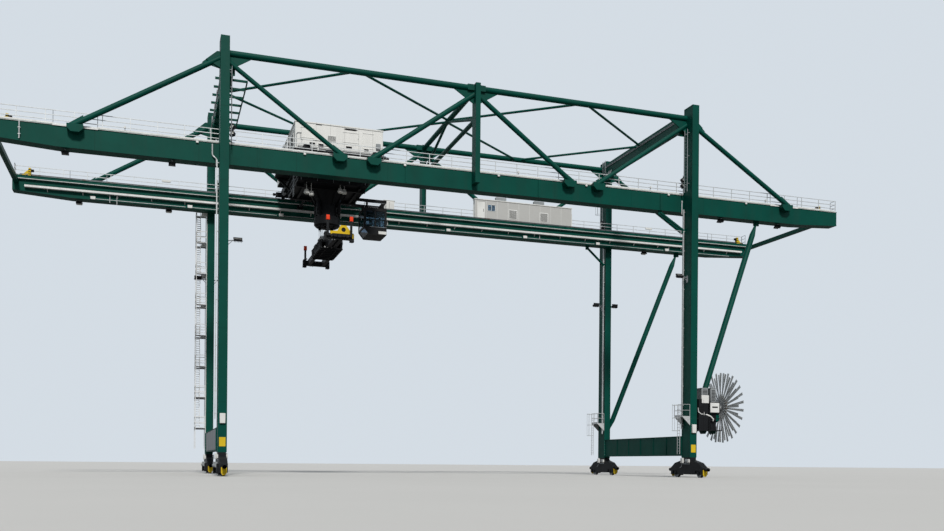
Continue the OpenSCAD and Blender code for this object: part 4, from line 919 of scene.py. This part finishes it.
def machinery_house():
    """Panels, louvres, pipes, doors, roof vents and the end railings of the house, with black
    sheets that paint the shade inside small openings on its sides.
    """
    trim, dark, pipes, rails, units = (Piece() for _ in range(5))
    left, right = TROLLEY - HOUSE_HALF, TROLLEY + HOUSE_HALF
    for sy in (-1, 1):
        y = sy * HOUSE_SIDE
        out = y + sy * 0.014

        def frame_round(x0, x1, z0, z1, wide=0.022):
            trim.box((x0 - wide, y, z0 - wide), (x1 + wide, out, z0))
            trim.box((x0 - wide, y, z1), (x1 + wide, out, z1 + wide))
            trim.box((x0 - wide, y, z0), (x0, out, z1))
            trim.box((x1, y, z0), (x1 + wide, out, z1))

        frame_round(-6.31, -5.97, 14.45, 14.66)
        dark.box((-6.31, y, 14.45), (-5.97, y + sy * 0.004, 14.66))
        for k in range(6):
            trim.box((-6.31, y, 14.468 + k * 0.033), (-5.97, y + sy * 0.012, 14.482 + k * 0.033))
        dark.plate([(-5.63, y, 15.045), (-5.52, y, 15.01), (-5.12, y, 15.01), (-5.01, y, 15.045),
                    (-5.12, y, 15.08), (-5.52, y, 15.08)], (0, sy * 0.01, 0))
        dark.box((-6.83, y, 15.08), (-6.57, y + sy * 0.01, 15.1))
        frame_round(-5.66, -4.98, 14.48, 14.9, 0.01)
        frame_round(-4.78, -4.3, 14.3, 14.95, 0.01)
        frame_round(-7.5, -6.9, 14.48, 14.9, 0.01)
        trim.box((-5.0, y, 14.66), (-4.98, y + sy * 0.03, 14.74), 0.004)
        # Painted shade: black sheets in white frames stand for the shaded insides of small openings
        # low on the side walls.
        for x0, x1, z0, z1 in ((-7.1, -6.86, 14.2, 14.3), (-6.72, -6.5, 14.16, 14.28),
                               (-5.52, -5.26, 14.22, 14.31), (-4.72, -4.52, 14.18, 14.28)):
            dark.box((x0, y, z0), (x1, y + sy * 0.006, z1), 0.003)
            frame_round(x0, x1, z0, z1, 0.01)
        for k, z in enumerate((14.08, 14.115)):
            pipes.rod((left + 0.1, y + sy * 0.03, z), (right - 0.1, y + sy * 0.03, z),
                      0.011 - 0.002 * k, sides=6)
        for i in range(9):
            x = left + 0.15 + i * 0.44
            pipes.box((x, y, 14.055), (x + 0.02, y + sy * 0.04, 14.14))
        pipes.pipe([(-7.66, y + sy * 0.03, 14.08), (-7.66, y + sy * 0.03, 14.6),
                    (-7.6, y + sy * 0.03, 14.66), (-7.45, y + sy * 0.03, 14.66)], 0.013, 6)
        pipes.pipe([(-7.5, y + sy * 0.03, 14.66), (-7.5, y + sy * 0.03, 14.42),
                    (-7.4, y + sy * 0.03, 14.38)], 0.01, 6)
        for x in (-7.05, -5.95):
            pipes.rod((x, y + sy * 0.02, 14.12), (x, y + sy * 0.02, 14.2), 0.01, sides=6)
        units.box((-4.2, y, 14.3), (-4.0, y + sy * 0.08, 14.55), 0.01)
        for x0, x1 in ((left - 0.006, left + 0.05), (right - 0.05, right + 0.006)):
            trim.box((x0, y - sy * 0.05, HOUSE_FLOOR), (x1, y + sy * 0.006, 15.12), 0.003)
        trim.box((left, y, HOUSE_FLOOR), (right, y + sy * 0.008, 14.04))
    for x, sx in ((left, -1), (right, 1)):
        for y in (-1.2, 0.7):
            trim.box((x, y, 14.02), (x + sx * 0.014, y + 0.46, 14.92), 0.004)
            dark.box((x + sx * 0.014, y + 0.08, 14.6), (x + sx * 0.02, y + 0.38, 14.84), 0.004)
            dark.box((x + sx * 0.014, y + 0.4, 14.4), (x + sx * 0.034, y + 0.43, 14.48), 0.003)
        for y in (-2.5, 1.8):
            trim.box((x, y, 14.3), (x + sx * 0.016, y + 0.7, 14.8), 0.004)
            for k in range(10):
                dark.box((x + sx * 0.014, y + 0.04, 14.33 + k * 0.045),
                         (x + sx * 0.02, y + 0.66, 14.35 + k * 0.045))
        edge = TROLLEY + sx * 2.2
        rails.rail_run([(x + sx * 0.02, -1.53, HOUSE_FLOOR), (edge, -1.53, HOUSE_FLOOR),
                        (edge, 1.53, HOUSE_FLOOR), (x + sx * 0.02, 1.53, HOUSE_FLOOR)], 0.55, 3,
                       0.55, 0.011)
        rails.box((edge - 0.005, -1.53, HOUSE_FLOOR), (edge + 0.005, 1.53, 14.07))
        for y in (-1.53, 1.53):
            rails.box((x, y - 0.005, HOUSE_FLOOR), (edge, y + 0.005, 14.07))
    for x in (-6.9, -5.8, -4.7):
        for y in (-1.8, 1.8):
            units.turned([(0, 0.16), (0.12, 0.15), (0.15, 0.11), (0.15, 0.09), (0.09, 0.09),
                          (0.09, 0), (0, 0)], (x, y, HOUSE_ROOF), (0, 0, 1), 24)
    units.box((-6.3, -0.5, HOUSE_ROOF), (-5.3, 0.5, 15.2), 0.01)
    units.box((-7.2, -0.3, HOUSE_ROOF), (-6.6, 0.3, 15.36), 0.02)
    for x in (left + 0.1, right - 0.1):
        for y in (-2.9, 2.9):
            units.plate([(x, y - 0.04, HOUSE_ROOF), (x, y + 0.04, HOUSE_ROOF), (x, y + 0.02, 15.24),
                         (x, y - 0.02, 15.24)], (0.015, 0, 0))
    trim.done("house_trim", WHITE_PAINT, "trolley")
    dark.done("house_louvres_and_painted_shade", BLACK, "trolley")
    pipes.done("house_pipes", ZINC, "trolley")
    rails.done("house_railings", WHITE_ZINC, "trolley")
    units.done("house_roof_units", GREY_PAINT, "trolley")


def hanging_frame_fittings():
    """Rope drums, gearboxes, hand rails, lamps and under-floor beams of the hanging frame."""
    drums, gears, rails, beams, lamps, lens = (Piece() for _ in range(6))
    x0, x1 = TROLLEY - FRAME_HALF, TROLLEY + FRAME_HALF
    for sy in (-1, 1):
        profile = [(0, 0), (0.3, 0), (0.3, 0.03)]
        for k in range(26):
            z = 0.04 + k * 0.05
            profile += [(0.24, z), (0.25, z + 0.012), (0.25, z + 0.036), (0.24, z + 0.048)]
        profile += [(0.3, 1.35), (0.3, 1.38), (0, 1.38)]
        drums.turned(profile, (TROLLEY - 0.75, sy * 0.62, 13.5), (1, 0, 0), 32)
        gears.box((TROLLEY + 0.66, sy * 0.62 - 0.24, 13.16),
                  (TROLLEY + 0.92, sy * 0.62 + 0.24, 13.8), 0.03)
        gears.box((TROLLEY - 0.95, sy * 0.62 - 0.16, 13.16),
                  (TROLLEY - 0.78, sy * 0.62 + 0.16, 13.66), 0.02)
        gears.turned([(0, 0), (0.13, 0), (0.13, 0.02), (0.12, 0.03), (0.12, 0.46), (0.1, 0.5),
                      (0, 0.5)], (TROLLEY + 0.92, sy * 0.7, 13.46), (1, 0, 0), 24)
        gears.box((TROLLEY + 0.98, sy * 0.7 - 0.1, FRAME_FLOOR),
                  (TROLLEY + 1.36, sy * 0.7 + 0.1, 13.36), 0.01)
        y = sy * 1.585
        for z in (13.36, 13.62):
            rails.rod((x0 + 0.04, y, z), (x1 - 0.04, y, z), 0.013, sides=6)
        for i in range(5):
            x = x0 + 0.14 + i * 0.72
            rails.rod((x, y, FRAME_FLOOR), (x, y, 13.62), 0.013, sides=6)
        beams.box((x0 + 0.02, sy * 1.05 - 0.06, 12.9), (x1 - 0.02, sy * 1.05 + 0.06, 12.915))
        beams.box((x0 + 0.02, sy * 1.05 - 0.008, 12.915), (x1 - 0.02, sy * 1.05 + 0.008, 13.05))
        for x in (x0, TROLLEY, x1):
            beams.box((x - 0.02, y - sy * 0.02, 13.2), (x + 0.02, y + sy * 0.005, 13.94))
        for x, lean in ((x0, 1), (x1, -1)):
            beams.plate([(x + lean * 0.13, sy * 1.5, 13.2), (x + lean * 0.45, sy * 1.5, 13.2),
                         (x + lean * 0.13, sy * 1.5, 13.5)], (0, sy * 0.02, 0))
    for x in (x0 + 0.35, x1 - 0.35):
        beams.box((x - 0.05, -1.55, 12.93), (x + 0.05, 1.55, 12.945))
        beams.box((x - 0.007, -1.55, 12.945), (x + 0.007, 1.55, 13.05))
    for x, y, z, yaw in ((-6.97, -1.42, 12.58, 0.3), (-6.74, -1.32, 12.55, -0.3),
                         (-5.46, -1.42, 12.76, 0.3), (-5.26, -1.34, 12.76, -0.2)):
        lamps.rod((x, y, z + 0.07), (x, y, 13.06), 0.014, sides=8)
        lamps.box((x - 0.08, y - 0.02, z + 0.1), (x + 0.08, y + 0.02, z + 0.14), 0.004)
        floodlight(lamps, lens, (x, y, z), yaw, math.pi * 0.3, 0.19, 0.14)
    for x in (x0 + 0.02, x1 - 0.06):
        rails.rail_run([(x + 0.02, -1.5, FRAME_FLOOR), (x + 0.02, 1.5, FRAME_FLOOR)], 0.55, 2, 0.6,
                       0.012)
    rails.ladder((x0 - 0.1, -0.9, 12.5), 1.5, (0, 0.26, 0), (-0.25, 0, 0), False)
    for z in (13.1, 13.9):
        for y in (-1.03, -0.77):
            rails.box((x0 - 0.1, y - 0.01, z), (x0, y + 0.01, z + 0.02))
    beams.box((-6.62, 1.57, 13.12), (-6.52, 3.3, 13.2), 0.006)
    beams.box((-6.72, 3.29, FRAME_FLOOR), (-6.42, 3.44, 13.13), 0.004)
    beams.box((-6.72, 3.29, FRAME_FLOOR), (-6.42, 3.302, 13.26), 0.004)
    beams.plate([(-6.6, 1.57, 13.12), (-6.6, 2.3, 13.12), (-6.6, 1.57, 12.95)], (0.06, 0, 0))
    for dy in (0.0, 0.16):
        beams.rod((-4.55, 0.32 + dy, 13.04), (-4.24, 0.32 + dy, 12.5), 0.014, sides=6)
        beams.rod((-4.24, 0.32 + dy, 12.5), (-3.99, 0.32 + dy, 12.46), 0.012, sides=6)
    drums.done("rope_drums", STEEL, "trolley")
    gears.done("hoist_gearboxes", DARK, "trolley")
    rails.done("frame_hand_rails", ZINC, "trolley")
    beams.done("frame_ribs", DARK, "trolley")
    lamps.done("frame_lamps", WHITE_PAINT, "trolley")
    lens.done("frame_lamp_lenses", LENS, "trolley")


def slewing_drives():
    """Ribs on the slewing column, its ring's bolts and the upright slewing motors."""
    ribs, bolts, motors = Piece(MID_TROLLEY), Piece(MID_TROLLEY), Piece(MID_TROLLEY)
    for i in range(12):
        angle = i * math.pi / 6 + math.pi / 12
        out = Vector((math.cos(angle), math.sin(angle), 0))
        wide = Vector((-math.sin(angle), math.cos(angle), 0)) * 0.01
        base = -wide
        ribs.plate([base + out * 0.515 + Vector((0, 0, 12.3)),
                    base + out * 0.515 + Vector((0, 0, 12.46)),
                    base + out * 0.85 + Vector((0, 0, 12.99)),
                    base + out * 0.885 + Vector((0, 0, 12.99)),
                    base + out * 0.6 + Vector((0, 0, 12.45)),
                    base + out * 0.53 + Vector((0, 0, 12.3))], wide * 2)
        ribs.plate([base + out * 0.515 + Vector((0, 0, 11.87)),
                    base + out * 0.58 + Vector((0, 0, 11.87)),
                    base + out * 0.515 + Vector((0, 0, 12.0))], wide * 2)
    bolts.bolts([(0.562 * math.cos(k * math.pi / 24), 0.562 * math.sin(k * math.pi / 24), 11.87)
                 for k in range(48)], (0, 0, 1), 0.011, 0.014)
    for angle in (0.5, 2.3, 3.9, 5.5):
        out = Vector((math.cos(angle), math.sin(angle), 0))
        foot = Vector((0, 0, 11.95)) + out * 0.66
        motors.turned([(0, 0), (0.06, 0), (0.075, 0.03), (0.075, 0.16), (0.1, 0.17), (0.1, 0.2),
                       (0.085, 0.21), (0.085, 0.5), (0.07, 0.54), (0, 0.54)], foot, (0, 0, 1), 24)
        middle = Vector((0, 0, 12.05)) + out * 0.58
        place = Matrix.Translation(middle) @ Matrix.Rotation(angle, 4, "Z")
        motors.block(place, (0.16, 0.12, 0.05), 0.008)
    ribs.done("column_ribs", DARK, "trolley")
    bolts.done("slewing_ring_bolts", STEEL, "trolley")
    motors.done("slewing_motors", DARK, "trolley")


def cab_fittings():
    """Seat, console and screen in the cab, its roof unit, hand rails, wipers and steps."""
    seat, console, rails, panels, screens = (Piece(CAB_CORNER) for _ in range(5))
    seat.box((0.42, 0.52, 0.3), (0.68, 0.78, 0.37), 0.02)
    seat.box((0.64, 0.52, 0.36), (0.72, 0.78, 0.72), 0.02)
    seat.box((0.66, 0.59, 0.74), (0.71, 0.71, 0.84), 0.02)
    seat.rod((0.55, 0.65, 0.05), (0.55, 0.65, 0.3), 0.04, sides=16)
    for y in (0.4, 0.82):
        console.box((0.36, y, 0.3), (0.66, y + 0.1, 0.46), 0.015)
        console.rod((0.42, y + 0.05, 0.46), (0.41, y + 0.05, 0.54), 0.01, sides=8)
        console.box((0.4, y + 0.02, 0.05), (0.56, y + 0.08, 0.3), 0.01)
    console.box((0.42, 0.16, 0.36), (0.56, 0.36, 0.72), 0.015)
    console.box((0.8, 0.1, 0.06), (1.04, 0.5, 0.7), 0.015)
    screens.box((0.2, 0.86, 0.56), (0.22, 1.08, 0.72), 0.006)
    screens.rod((0.23, 0.97, 0.3), (0.22, 0.97, 0.6), 0.01, sides=8)
    panels.box((0.34, 0.3, 0.1), (0.54, 0.6, 0.28), 0.015)
    panels.box((0.7, -0.02, 0.02), (1.09, 0, 0.16), 0.006)
    panels.box((0.3, 0.4, 1.24), (0.78, 0.95, 1.4), 0.02)
    for k in range(5):
        screens.box((0.34 + k * 0.08, 0.39, 1.27), (0.38 + k * 0.08, 0.402, 1.37))
    for y in (-0.03, 1.33):
        rails.rod((0.28, y, 0.34), (1.1, y, 0.34), 0.01, sides=6)
        for x in (0.3, 0.7, 1.08):
            rails.rod((x, y, 0.34), (x, y + (0.03 if y < 1 else -0.03), 0.34), 0.008, sides=6)
    for x in (0.03, 1.07):
        for y in (0.02, 1.28):
            rails.rod((x, y, 1.24), (x, y, 1.5), 0.01, sides=6)
    for y in (0.02, 1.28):
        rails.rod((0.03, y, 1.49), (1.07, y, 1.49), 0.01, sides=6)
    for y in (0.35, 0.85):
        screens.rod((-0.012, y, 0.4), (-0.012, y + 0.2, 0.72), 0.006, sides=6)
    for i in range(5):
        rails.rod((1.13, 0.45, 0.06 + i * 0.24), (1.13, 0.85, 0.06 + i * 0.24), 0.01, sides=6)
    for y in (0.45, 0.85):
        rails.rod((1.13, y, 0.02), (1.13, y, 1.54), 0.012, sides=6)
        rails.rod((1.13, y, 1.5), (1.08, y, 1.58), 0.012, sides=6)
    seat.done("cab_seat", BLACK, "trolley")
    console.done("cab_consoles", WHITE_PAINT, "trolley")
    rails.done("cab_rails", ZINC, "trolley")
    panels.done("cab_panels", WHITE_PAINT, "trolley")
    screens.done("cab_screens", BLACK, "trolley")


# The turntable and the spreader


def turntable_fittings():
    """Bolts round the turntable, its cover ribs and the rope anchor pins."""
    bolts, ribs = Piece(MID_TROLLEY), Piece(MID_TROLLEY)
    for k in range(32):
        angle = k * math.pi / 16
        bolts.bolts([(0.49 * math.cos(angle), 0.49 * math.sin(angle), 11.45)], (0, 0, -1), 0.012,
                    0.012)
    for i in range(16):
        angle = i * math.pi / 8
        out = Vector((math.cos(angle), math.sin(angle), 0))
        middle = Vector((0, 0, 11.63)) + out * 0.592
        place = Matrix.Translation(middle) @ Matrix.Rotation(angle, 4, "Z")
        ribs.block(place, (0.012, 0.03, 0.19), 0.002)
    for sx, sy in CORNERS:
        x, y = sx * 0.28, sy * 0.3
        ribs.rod((x - 0.075, y, 11.42), (x + 0.075, y, 11.42), 0.018, sides=12)
        for k in (-1, 1):
            ribs.rod((x + k * 0.03, y, 11.3), (x + k * 0.03, y, 11.39), 0.014, 0.02, sides=10)
    ribs.box((-0.12, -0.12, 11.41), (0.12, 0.12, 11.45), 0.01)
    bolts.done("turntable_bolts", STEEL, "turntable")
    ribs.done("turntable_ribs", DARK, "turntable")


def spreader_fittings():
    """Power unit, boxes, cable basket, ribs, hoses, pins and lamps on the spreader's frame."""
    dark, grey, pins, lamps, hoses = (Piece(MID_TROLLEY) for _ in range(5))
    low, high, end = 10.22, 10.58, 1.2
    for sx in (-1, 1):
        x = sx * 0.495
        for i in range(7):
            y = -1.08 + i * 0.36
            dark.box((x, y - 0.012, low + 0.02), (x + sx * 0.03, y + 0.012, high - 0.02))
        for z in (low, high - 0.02):
            dark.box((x, -end, z), (x + sx * 0.035, end, z + 0.02))
        for y in (-1.02, 0.06):
            dark.box((x, y, low + 0.08), (x + sx * 0.012, y + 0.26, high - 0.08), 0.004)
        for sy in (-1, 1):
            dark.box((x - sx * 0.2, sy * end, high - 0.02), (x, sy * (end + 0.03), high + 0.04),
                     0.004)
            pins.bolts([(sx * a, sy * (end + 0.002), z) for a in (0.03, 0.46)
                        for z in (10.25, 10.55)], (0, sy, 0), 0.013)
    for k in range(7):
        y = -1.08 + k * 0.36
        dark.box((-0.47, y - 0.04, low - 0.014), (0.47, y + 0.04, low), 0.003)
        dark.box((-0.47, y - 0.006, low - 0.05), (0.47, y + 0.006, low - 0.014))
    for x in (-0.25, 0.25):
        dark.box((x - 0.02, -1.1, low - 0.03), (x + 0.02, 1.1, low))
    for sx, sy in CORNERS:
        x, y = sx * 0.28, sy * 0.3
        pins.rod((x - 0.09, y, 10.85), (x + 0.09, y, 10.85), 0.022, sides=14)
        for k in (-1, 1):
            pins.turned([(0.02, -0.008), (0.062, -0.014), (0.056, -0.005), (0.056, 0.005),
                         (0.062, 0.014), (0.02, 0.008), (0.02, -0.008)], (x + k * 0.03, y, 10.93),
                        (1, 0, 0), 24)
        for edge in (-1, 1):
            dark.box((x + edge * 0.07, y - 0.09, 10.73), (x + edge * 0.082, y + 0.09, 10.95), 0.004)
    grey.box((-0.42, 0.74, high), (0.02, 1.16, high + 0.24), 0.02)
    grey.turned([(0, 0), (0.09, 0), (0.09, 0.24), (0.07, 0.27), (0, 0.27)], (0.2, 1.0, high),
                (0, 0, 1), 24)
    grey.box((-0.4, -1.16, high), (-0.08, -0.82, high + 0.2), 0.015)
    grey.box((0.1, -1.16, high), (0.36, -0.86, high + 0.15), 0.015)
    dark.turned([(0.15, 0), (0.2, 0.28), (0.19, 0.28), (0.14, 0.01), (0, 0.01), (0, 0), (0.15, 0)],
                (0, 0, 10.73), (0, 0, 1), 28)
    for y in (-0.66, 0.66):
        hoses.pipe([(-0.3, y * 1.25, 10.7), (-0.3, y, 10.8), (-0.1, y * 0.8, 10.82),
                    (0, y * 0.3, 10.78)], 0.014, 8)
        hoses.pipe([(0.47, y * 1.8, 10.6), (0.53, y * 1.7, 10.5), (0.54, y, 10.3),
                    (0.54, y * 0.4, 10.28)], 0.012, 8)
    for x, y in ((-0.3, -1.22), (-0.18, -1.22), (0.3, 1.22)):
        lamps.box((x - 0.03, y - 0.02, 10.25), (x + 0.03, y + 0.02, 10.31), 0.006)
    for sx in (-1, 1):
        lamps.box((sx * 0.42 - 0.04, -0.62, high + 0.15), (sx * 0.42 + 0.04, -0.5, high + 0.22),
                  0.01)
    dark.done("spreader_ribs", DARK, "spreader")
    grey.done("spreader_units", GREY_PAINT, "spreader", "dark_paint")
    pins.done("spreader_sheaves", STEEL, "spreader")
    lamps.done("spreader_lamps", WHITE_PAINT, "spreader")
    hoses.done("spreader_hoses", BLACK, "spreader")


def spreader_end_fittings():
    """Twistlock housings, bearing caps, lamps and guide arm drives on the spreader's ends."""
    for sy, name in ((-1, "front"), (1, "rear")):
        body = f"spreader_end_{name}"
        dark, pins, lamps = Piece(MID_TROLLEY), Piece(MID_TROLLEY), Piece(MID_TROLLEY)
        end = sy * LOCK_Y
        for sx in (-1, 1):
            x = sx * LOCK_X
            dark.box((x - 0.09, end - 0.085, 10.15), (x + 0.09, end + 0.094, 10.25), 0.006)
            dark.box((x - 0.075, end - 0.07, BEAM_TOP), (x + 0.075, end + 0.07, 10.53), 0.01)
            pins.rod((x, end, 10.53), (x, end, 10.58), 0.025, sides=14)
            pins.bolts([(x + a, end + b, BEAM_TOP) for a in (-0.085, 0.085) for b in (-0.06, 0.06)],
                       (0, 0, 1), 0.011)
            arm = sx * 0.33
            pins.turned([(0, 0.012), (0.03, 0.012), (0.042, 0.004), (0.042, -0.004), (0, -0.004)],
                        (arm + sx * 0.05, sy * ARM_Y, 10.36), (sx, 0, 0), 20)
            dark.box((sx * 0.1, end + sy * 0.09, 10.3), (sx * 0.26, end + sy * 0.2, 10.42), 0.015)
        dark.box((-0.1, end + sy * 0.09, 10.28), (0.1, end + sy * 0.215, 10.45), 0.02)
        for a in (-0.29, -0.18):
            lamps.box((a - 0.025, end - 0.03, 10.205), (a + 0.025, end + 0.03, 10.24), 0.006)
        lamps.box((-0.5, end - 0.03, 10.53), (-0.44, end + 0.03, 10.6), 0.01)
        if sy < 0:
            guard_plate()
        dark.done(f"lock_housings_{name}", DARK, body)
        pins.done(f"lock_pins_{name}", STEEL, body)
        lamps.done(f"end_lamps_{name}", WHITE_PAINT, body)


def guard_plate():
    """The yellow guard plate with its round hole on the front end beam."""
    guard = Piece(MID_TROLLEY)
    left, right, apex, low = -0.374, 0.604, 0.2, BEAM_TOP
    outline = [(left, low), (right, low), (right, low + 0.052), (apex + 0.132, low + 0.404),
               (apex - 0.112, low + 0.404), (apex - 0.262, low + 0.153), (left, low + 0.123)]
    y = -2.932
    corners = [guard.bm.verts.new((x, y, z)) for x, z in outline]
    edges = [guard.bm.edges.new((a, b)) for a, b in zip(corners, corners[1:] + corners[:1])]
    hole = Matrix.Translation((apex + 0.01, y, low + 0.215)) @ Matrix.Rotation(math.pi / 2, 4, "X")
    ring = bmesh.ops.create_circle(guard.bm, cap_ends=False, segments=28, radius=0.098,
                                   matrix=hole)["verts"]
    edges += list({edge for vert in ring for edge in vert.link_edges})
    faces = [f for f in bmesh.ops.triangle_fill(guard.bm, edges=edges, use_beauty=True)["geom"]
             if isinstance(f, bmesh.types.BMFace)]
    grown = bmesh.ops.extrude_face_region(guard.bm, geom=faces)["geom"]
    bmesh.ops.translate(guard.bm, vec=(0, -0.038, 0),
                        verts=[part for part in grown if isinstance(part, bmesh.types.BMVert)])
    for x in (-0.3, 0.02, 0.52):
        guard.plate([(x, -2.932, low), (x, -2.9, low), (x, -2.932, low + 0.09)], (0.012, 0, 0))
    guard.box((-0.37, -3.09, 10.472), (0.6, -2.93, 10.484))
    for x0, x1 in ((-0.37, -0.31), (0.56, 0.62)):
        guard.box((x0, -3.098, 10.3), (x1, -3.088, 10.484))
    backing = Piece(MID_TROLLEY)
    backing.box((0.02, -2.925, 10.5), (0.4, -2.905, 10.82), 0.006)
    backing.box((0.04, -2.905, 10.47), (0.38, -2.9, 10.8))
    guard.done("yellow_guard", YELLOW, "spreader_end_front")
    backing.done("guard_backing", DARK, "spreader_end_front")


def guide_arm_tips():
    """Orange tips over the upper ends of the guide arms."""
    for sy, name in ((-1, "front"), (1, "rear")):
        tips, plates = Piece(MID_TROLLEY), Piece(MID_TROLLEY)
        y = ARM_Y
        for sx in (-1, 1):
            x = sx * 0.51
            outline = [(x - 0.07, sy * (y - 0.06), 11.02), (x - 0.07, sy * (y + 0.06), 11.02),
                       (x - 0.07, sy * (y + 0.06), 11.15), (x - 0.07, sy * (y + 0.04), 11.224),
                       (x - 0.07, sy * (y - 0.06), 11.224)]
            tips.plate(outline, (0.14, 0, 0))
            plates.box((x - 0.055, sy * (y - 0.044), 10.33), (x + 0.055, sy * (y + 0.044), 10.46),
                       0.006)
            for z in (10.58, 10.76):
                plates.box((x - 0.05, sy * (y - 0.043), z), (x + 0.05, sy * (y + 0.043), z + 0.03),
                           0.003)
        tips.done(f"orange_tips_{name}", ORANGE, f"flippers_{name}")
        plates.done(f"arm_sockets_{name}", DARK, f"flippers_{name}")


cable_runs()
supply_chain()
girder_lamps()
deck_edges()
girder_fittings()
pylon_fittings()
sill_fittings()
bogie_fittings()
wheel_caps()
stair_fittings()
access_landing()
reel_dressing()
reel_stand_dressing()
electrical_house()
trolley_drives()
machinery_house()
hanging_frame_fittings()
slewing_drives()
cab_fittings()
turntable_fittings()
spreader_fittings()
spreader_end_fittings()
guide_arm_tips()

# Stage: floor, light and camera


def stage_floor():
    """A plain pale floor, far larger than the crane, that throws little light back up."""
    bm = bmesh.new()
    bmesh.ops.create_grid(bm, x_segments=1, y_segments=1, size=400)
    bmesh.ops.recalc_face_normals(bm, faces=bm.faces)
    mesh = bpy.data.meshes.new("floor")
    bm.to_mesh(mesh)
    bm.free()
    floor = bpy.data.objects.new("floor", mesh)
    bpy.context.scene.collection.objects.link(floor)
    finish = Finish("pale_floor", (0.62, 0.62, 0.61, 1), 0.9)
    tone = finish.ramp(finish.noise(0.15, 4), [(0.3, 0.97), (0.7, 1.0)])
    pale = finish.blend(1.0, (0.62, 0.62, 0.61, 1), tone, "MULTIPLY")
    seen = finish.add("ShaderNodeLightPath").outputs["Is Camera Ray"]
    finish.colour(finish.blend(seen, (0.16, 0.155, 0.15, 1), pale))
    mesh.materials.append(finish.material)


def stage_light():
    """Soft even light from all round, with one broad key from the front."""
    world = bpy.data.worlds.new("studio")
    bpy.context.scene.world = world
    world.use_nodes = True
    tree = world.node_tree
    tree.nodes.clear()
    out = tree.nodes.new("ShaderNodeOutputWorld")
    shades = []
    for colour, strength in (((0.92, 0.96, 1.0, 1), 0.36), ((0.66, 0.72, 0.78, 1), 1.0)):
        shade = tree.nodes.new("ShaderNodeBackground")
        shade.inputs["Color"].default_value = colour
        shade.inputs["Strength"].default_value = strength
        shades.append(shade)
    path = tree.nodes.new("ShaderNodeLightPath")
    backdrop = path.outputs["Is Camera Ray"]
    for ray in ("Is Glossy Ray", "Is Transmission Ray"):
        either = tree.nodes.new("ShaderNodeMath")
        either.operation = "MAXIMUM"
        tree.links.new(backdrop, either.inputs[0])
        tree.links.new(path.outputs[ray], either.inputs[1])
        backdrop = either.outputs[0]
    mix = tree.nodes.new("ShaderNodeMixShader")
    tree.links.new(backdrop, mix.inputs[0])
    for shade, socket in zip(shades, mix.inputs[1:]):
        tree.links.new(shade.outputs[0], socket)
    tree.links.new(mix.outputs[0], out.inputs["Surface"])
    lamp = bpy.data.lights.new("key", "SUN")
    lamp.energy = 2.6
    lamp.angle = math.radians(9)
    lamp.color = (1.0, 0.97, 0.92)
    key = bpy.data.objects.new("key", lamp)
    toward = Vector((0.08, 0.75, -0.65))
    key.rotation_mode = "QUATERNION"
    key.rotation_quaternion = toward.to_track_quat("-Z", "Y")
    bpy.context.scene.collection.objects.link(key)


def stage_camera():
    """The photograph's viewpoint: low beside the left end, looking up along the girders."""
    yaw, roll = math.radians(18.722), math.radians(0.4637)
    ahead = Vector((math.sin(yaw), math.cos(yaw), 0))
    level = Vector((math.cos(yaw), -math.sin(yaw), 0))
    upright = Vector((0, 0, 1))
    right = level * math.cos(roll) + upright * math.sin(roll)
    up = upright * math.cos(roll) - level * math.sin(roll)
    focal_px, width_px, height_px, horizon_px = 945.8, 944, 531, 463.5
    data = bpy.data.cameras.new("photo_view")
    data.sensor_width = 36
    data.lens = 36 * focal_px / width_px
    data.shift_y = (horizon_px - height_px / 2) / width_px
    data.clip_start, data.clip_end = 0.5, 2000
    camera = bpy.data.objects.new("photo_view", data)
    camera.matrix_world = Matrix((
        (right.x, up.x, -ahead.x, -13.4125),
        (right.y, up.y, -ahead.y, -43.673),
        (right.z, up.z, -ahead.z, 0.580),
        (0, 0, 0, 1)))
    bpy.context.scene.collection.objects.link(camera)
    bpy.context.scene.camera = camera


stage_floor()
stage_light()
stage_camera()
bpy.context.scene.view_settings.view_transform = "Standard"
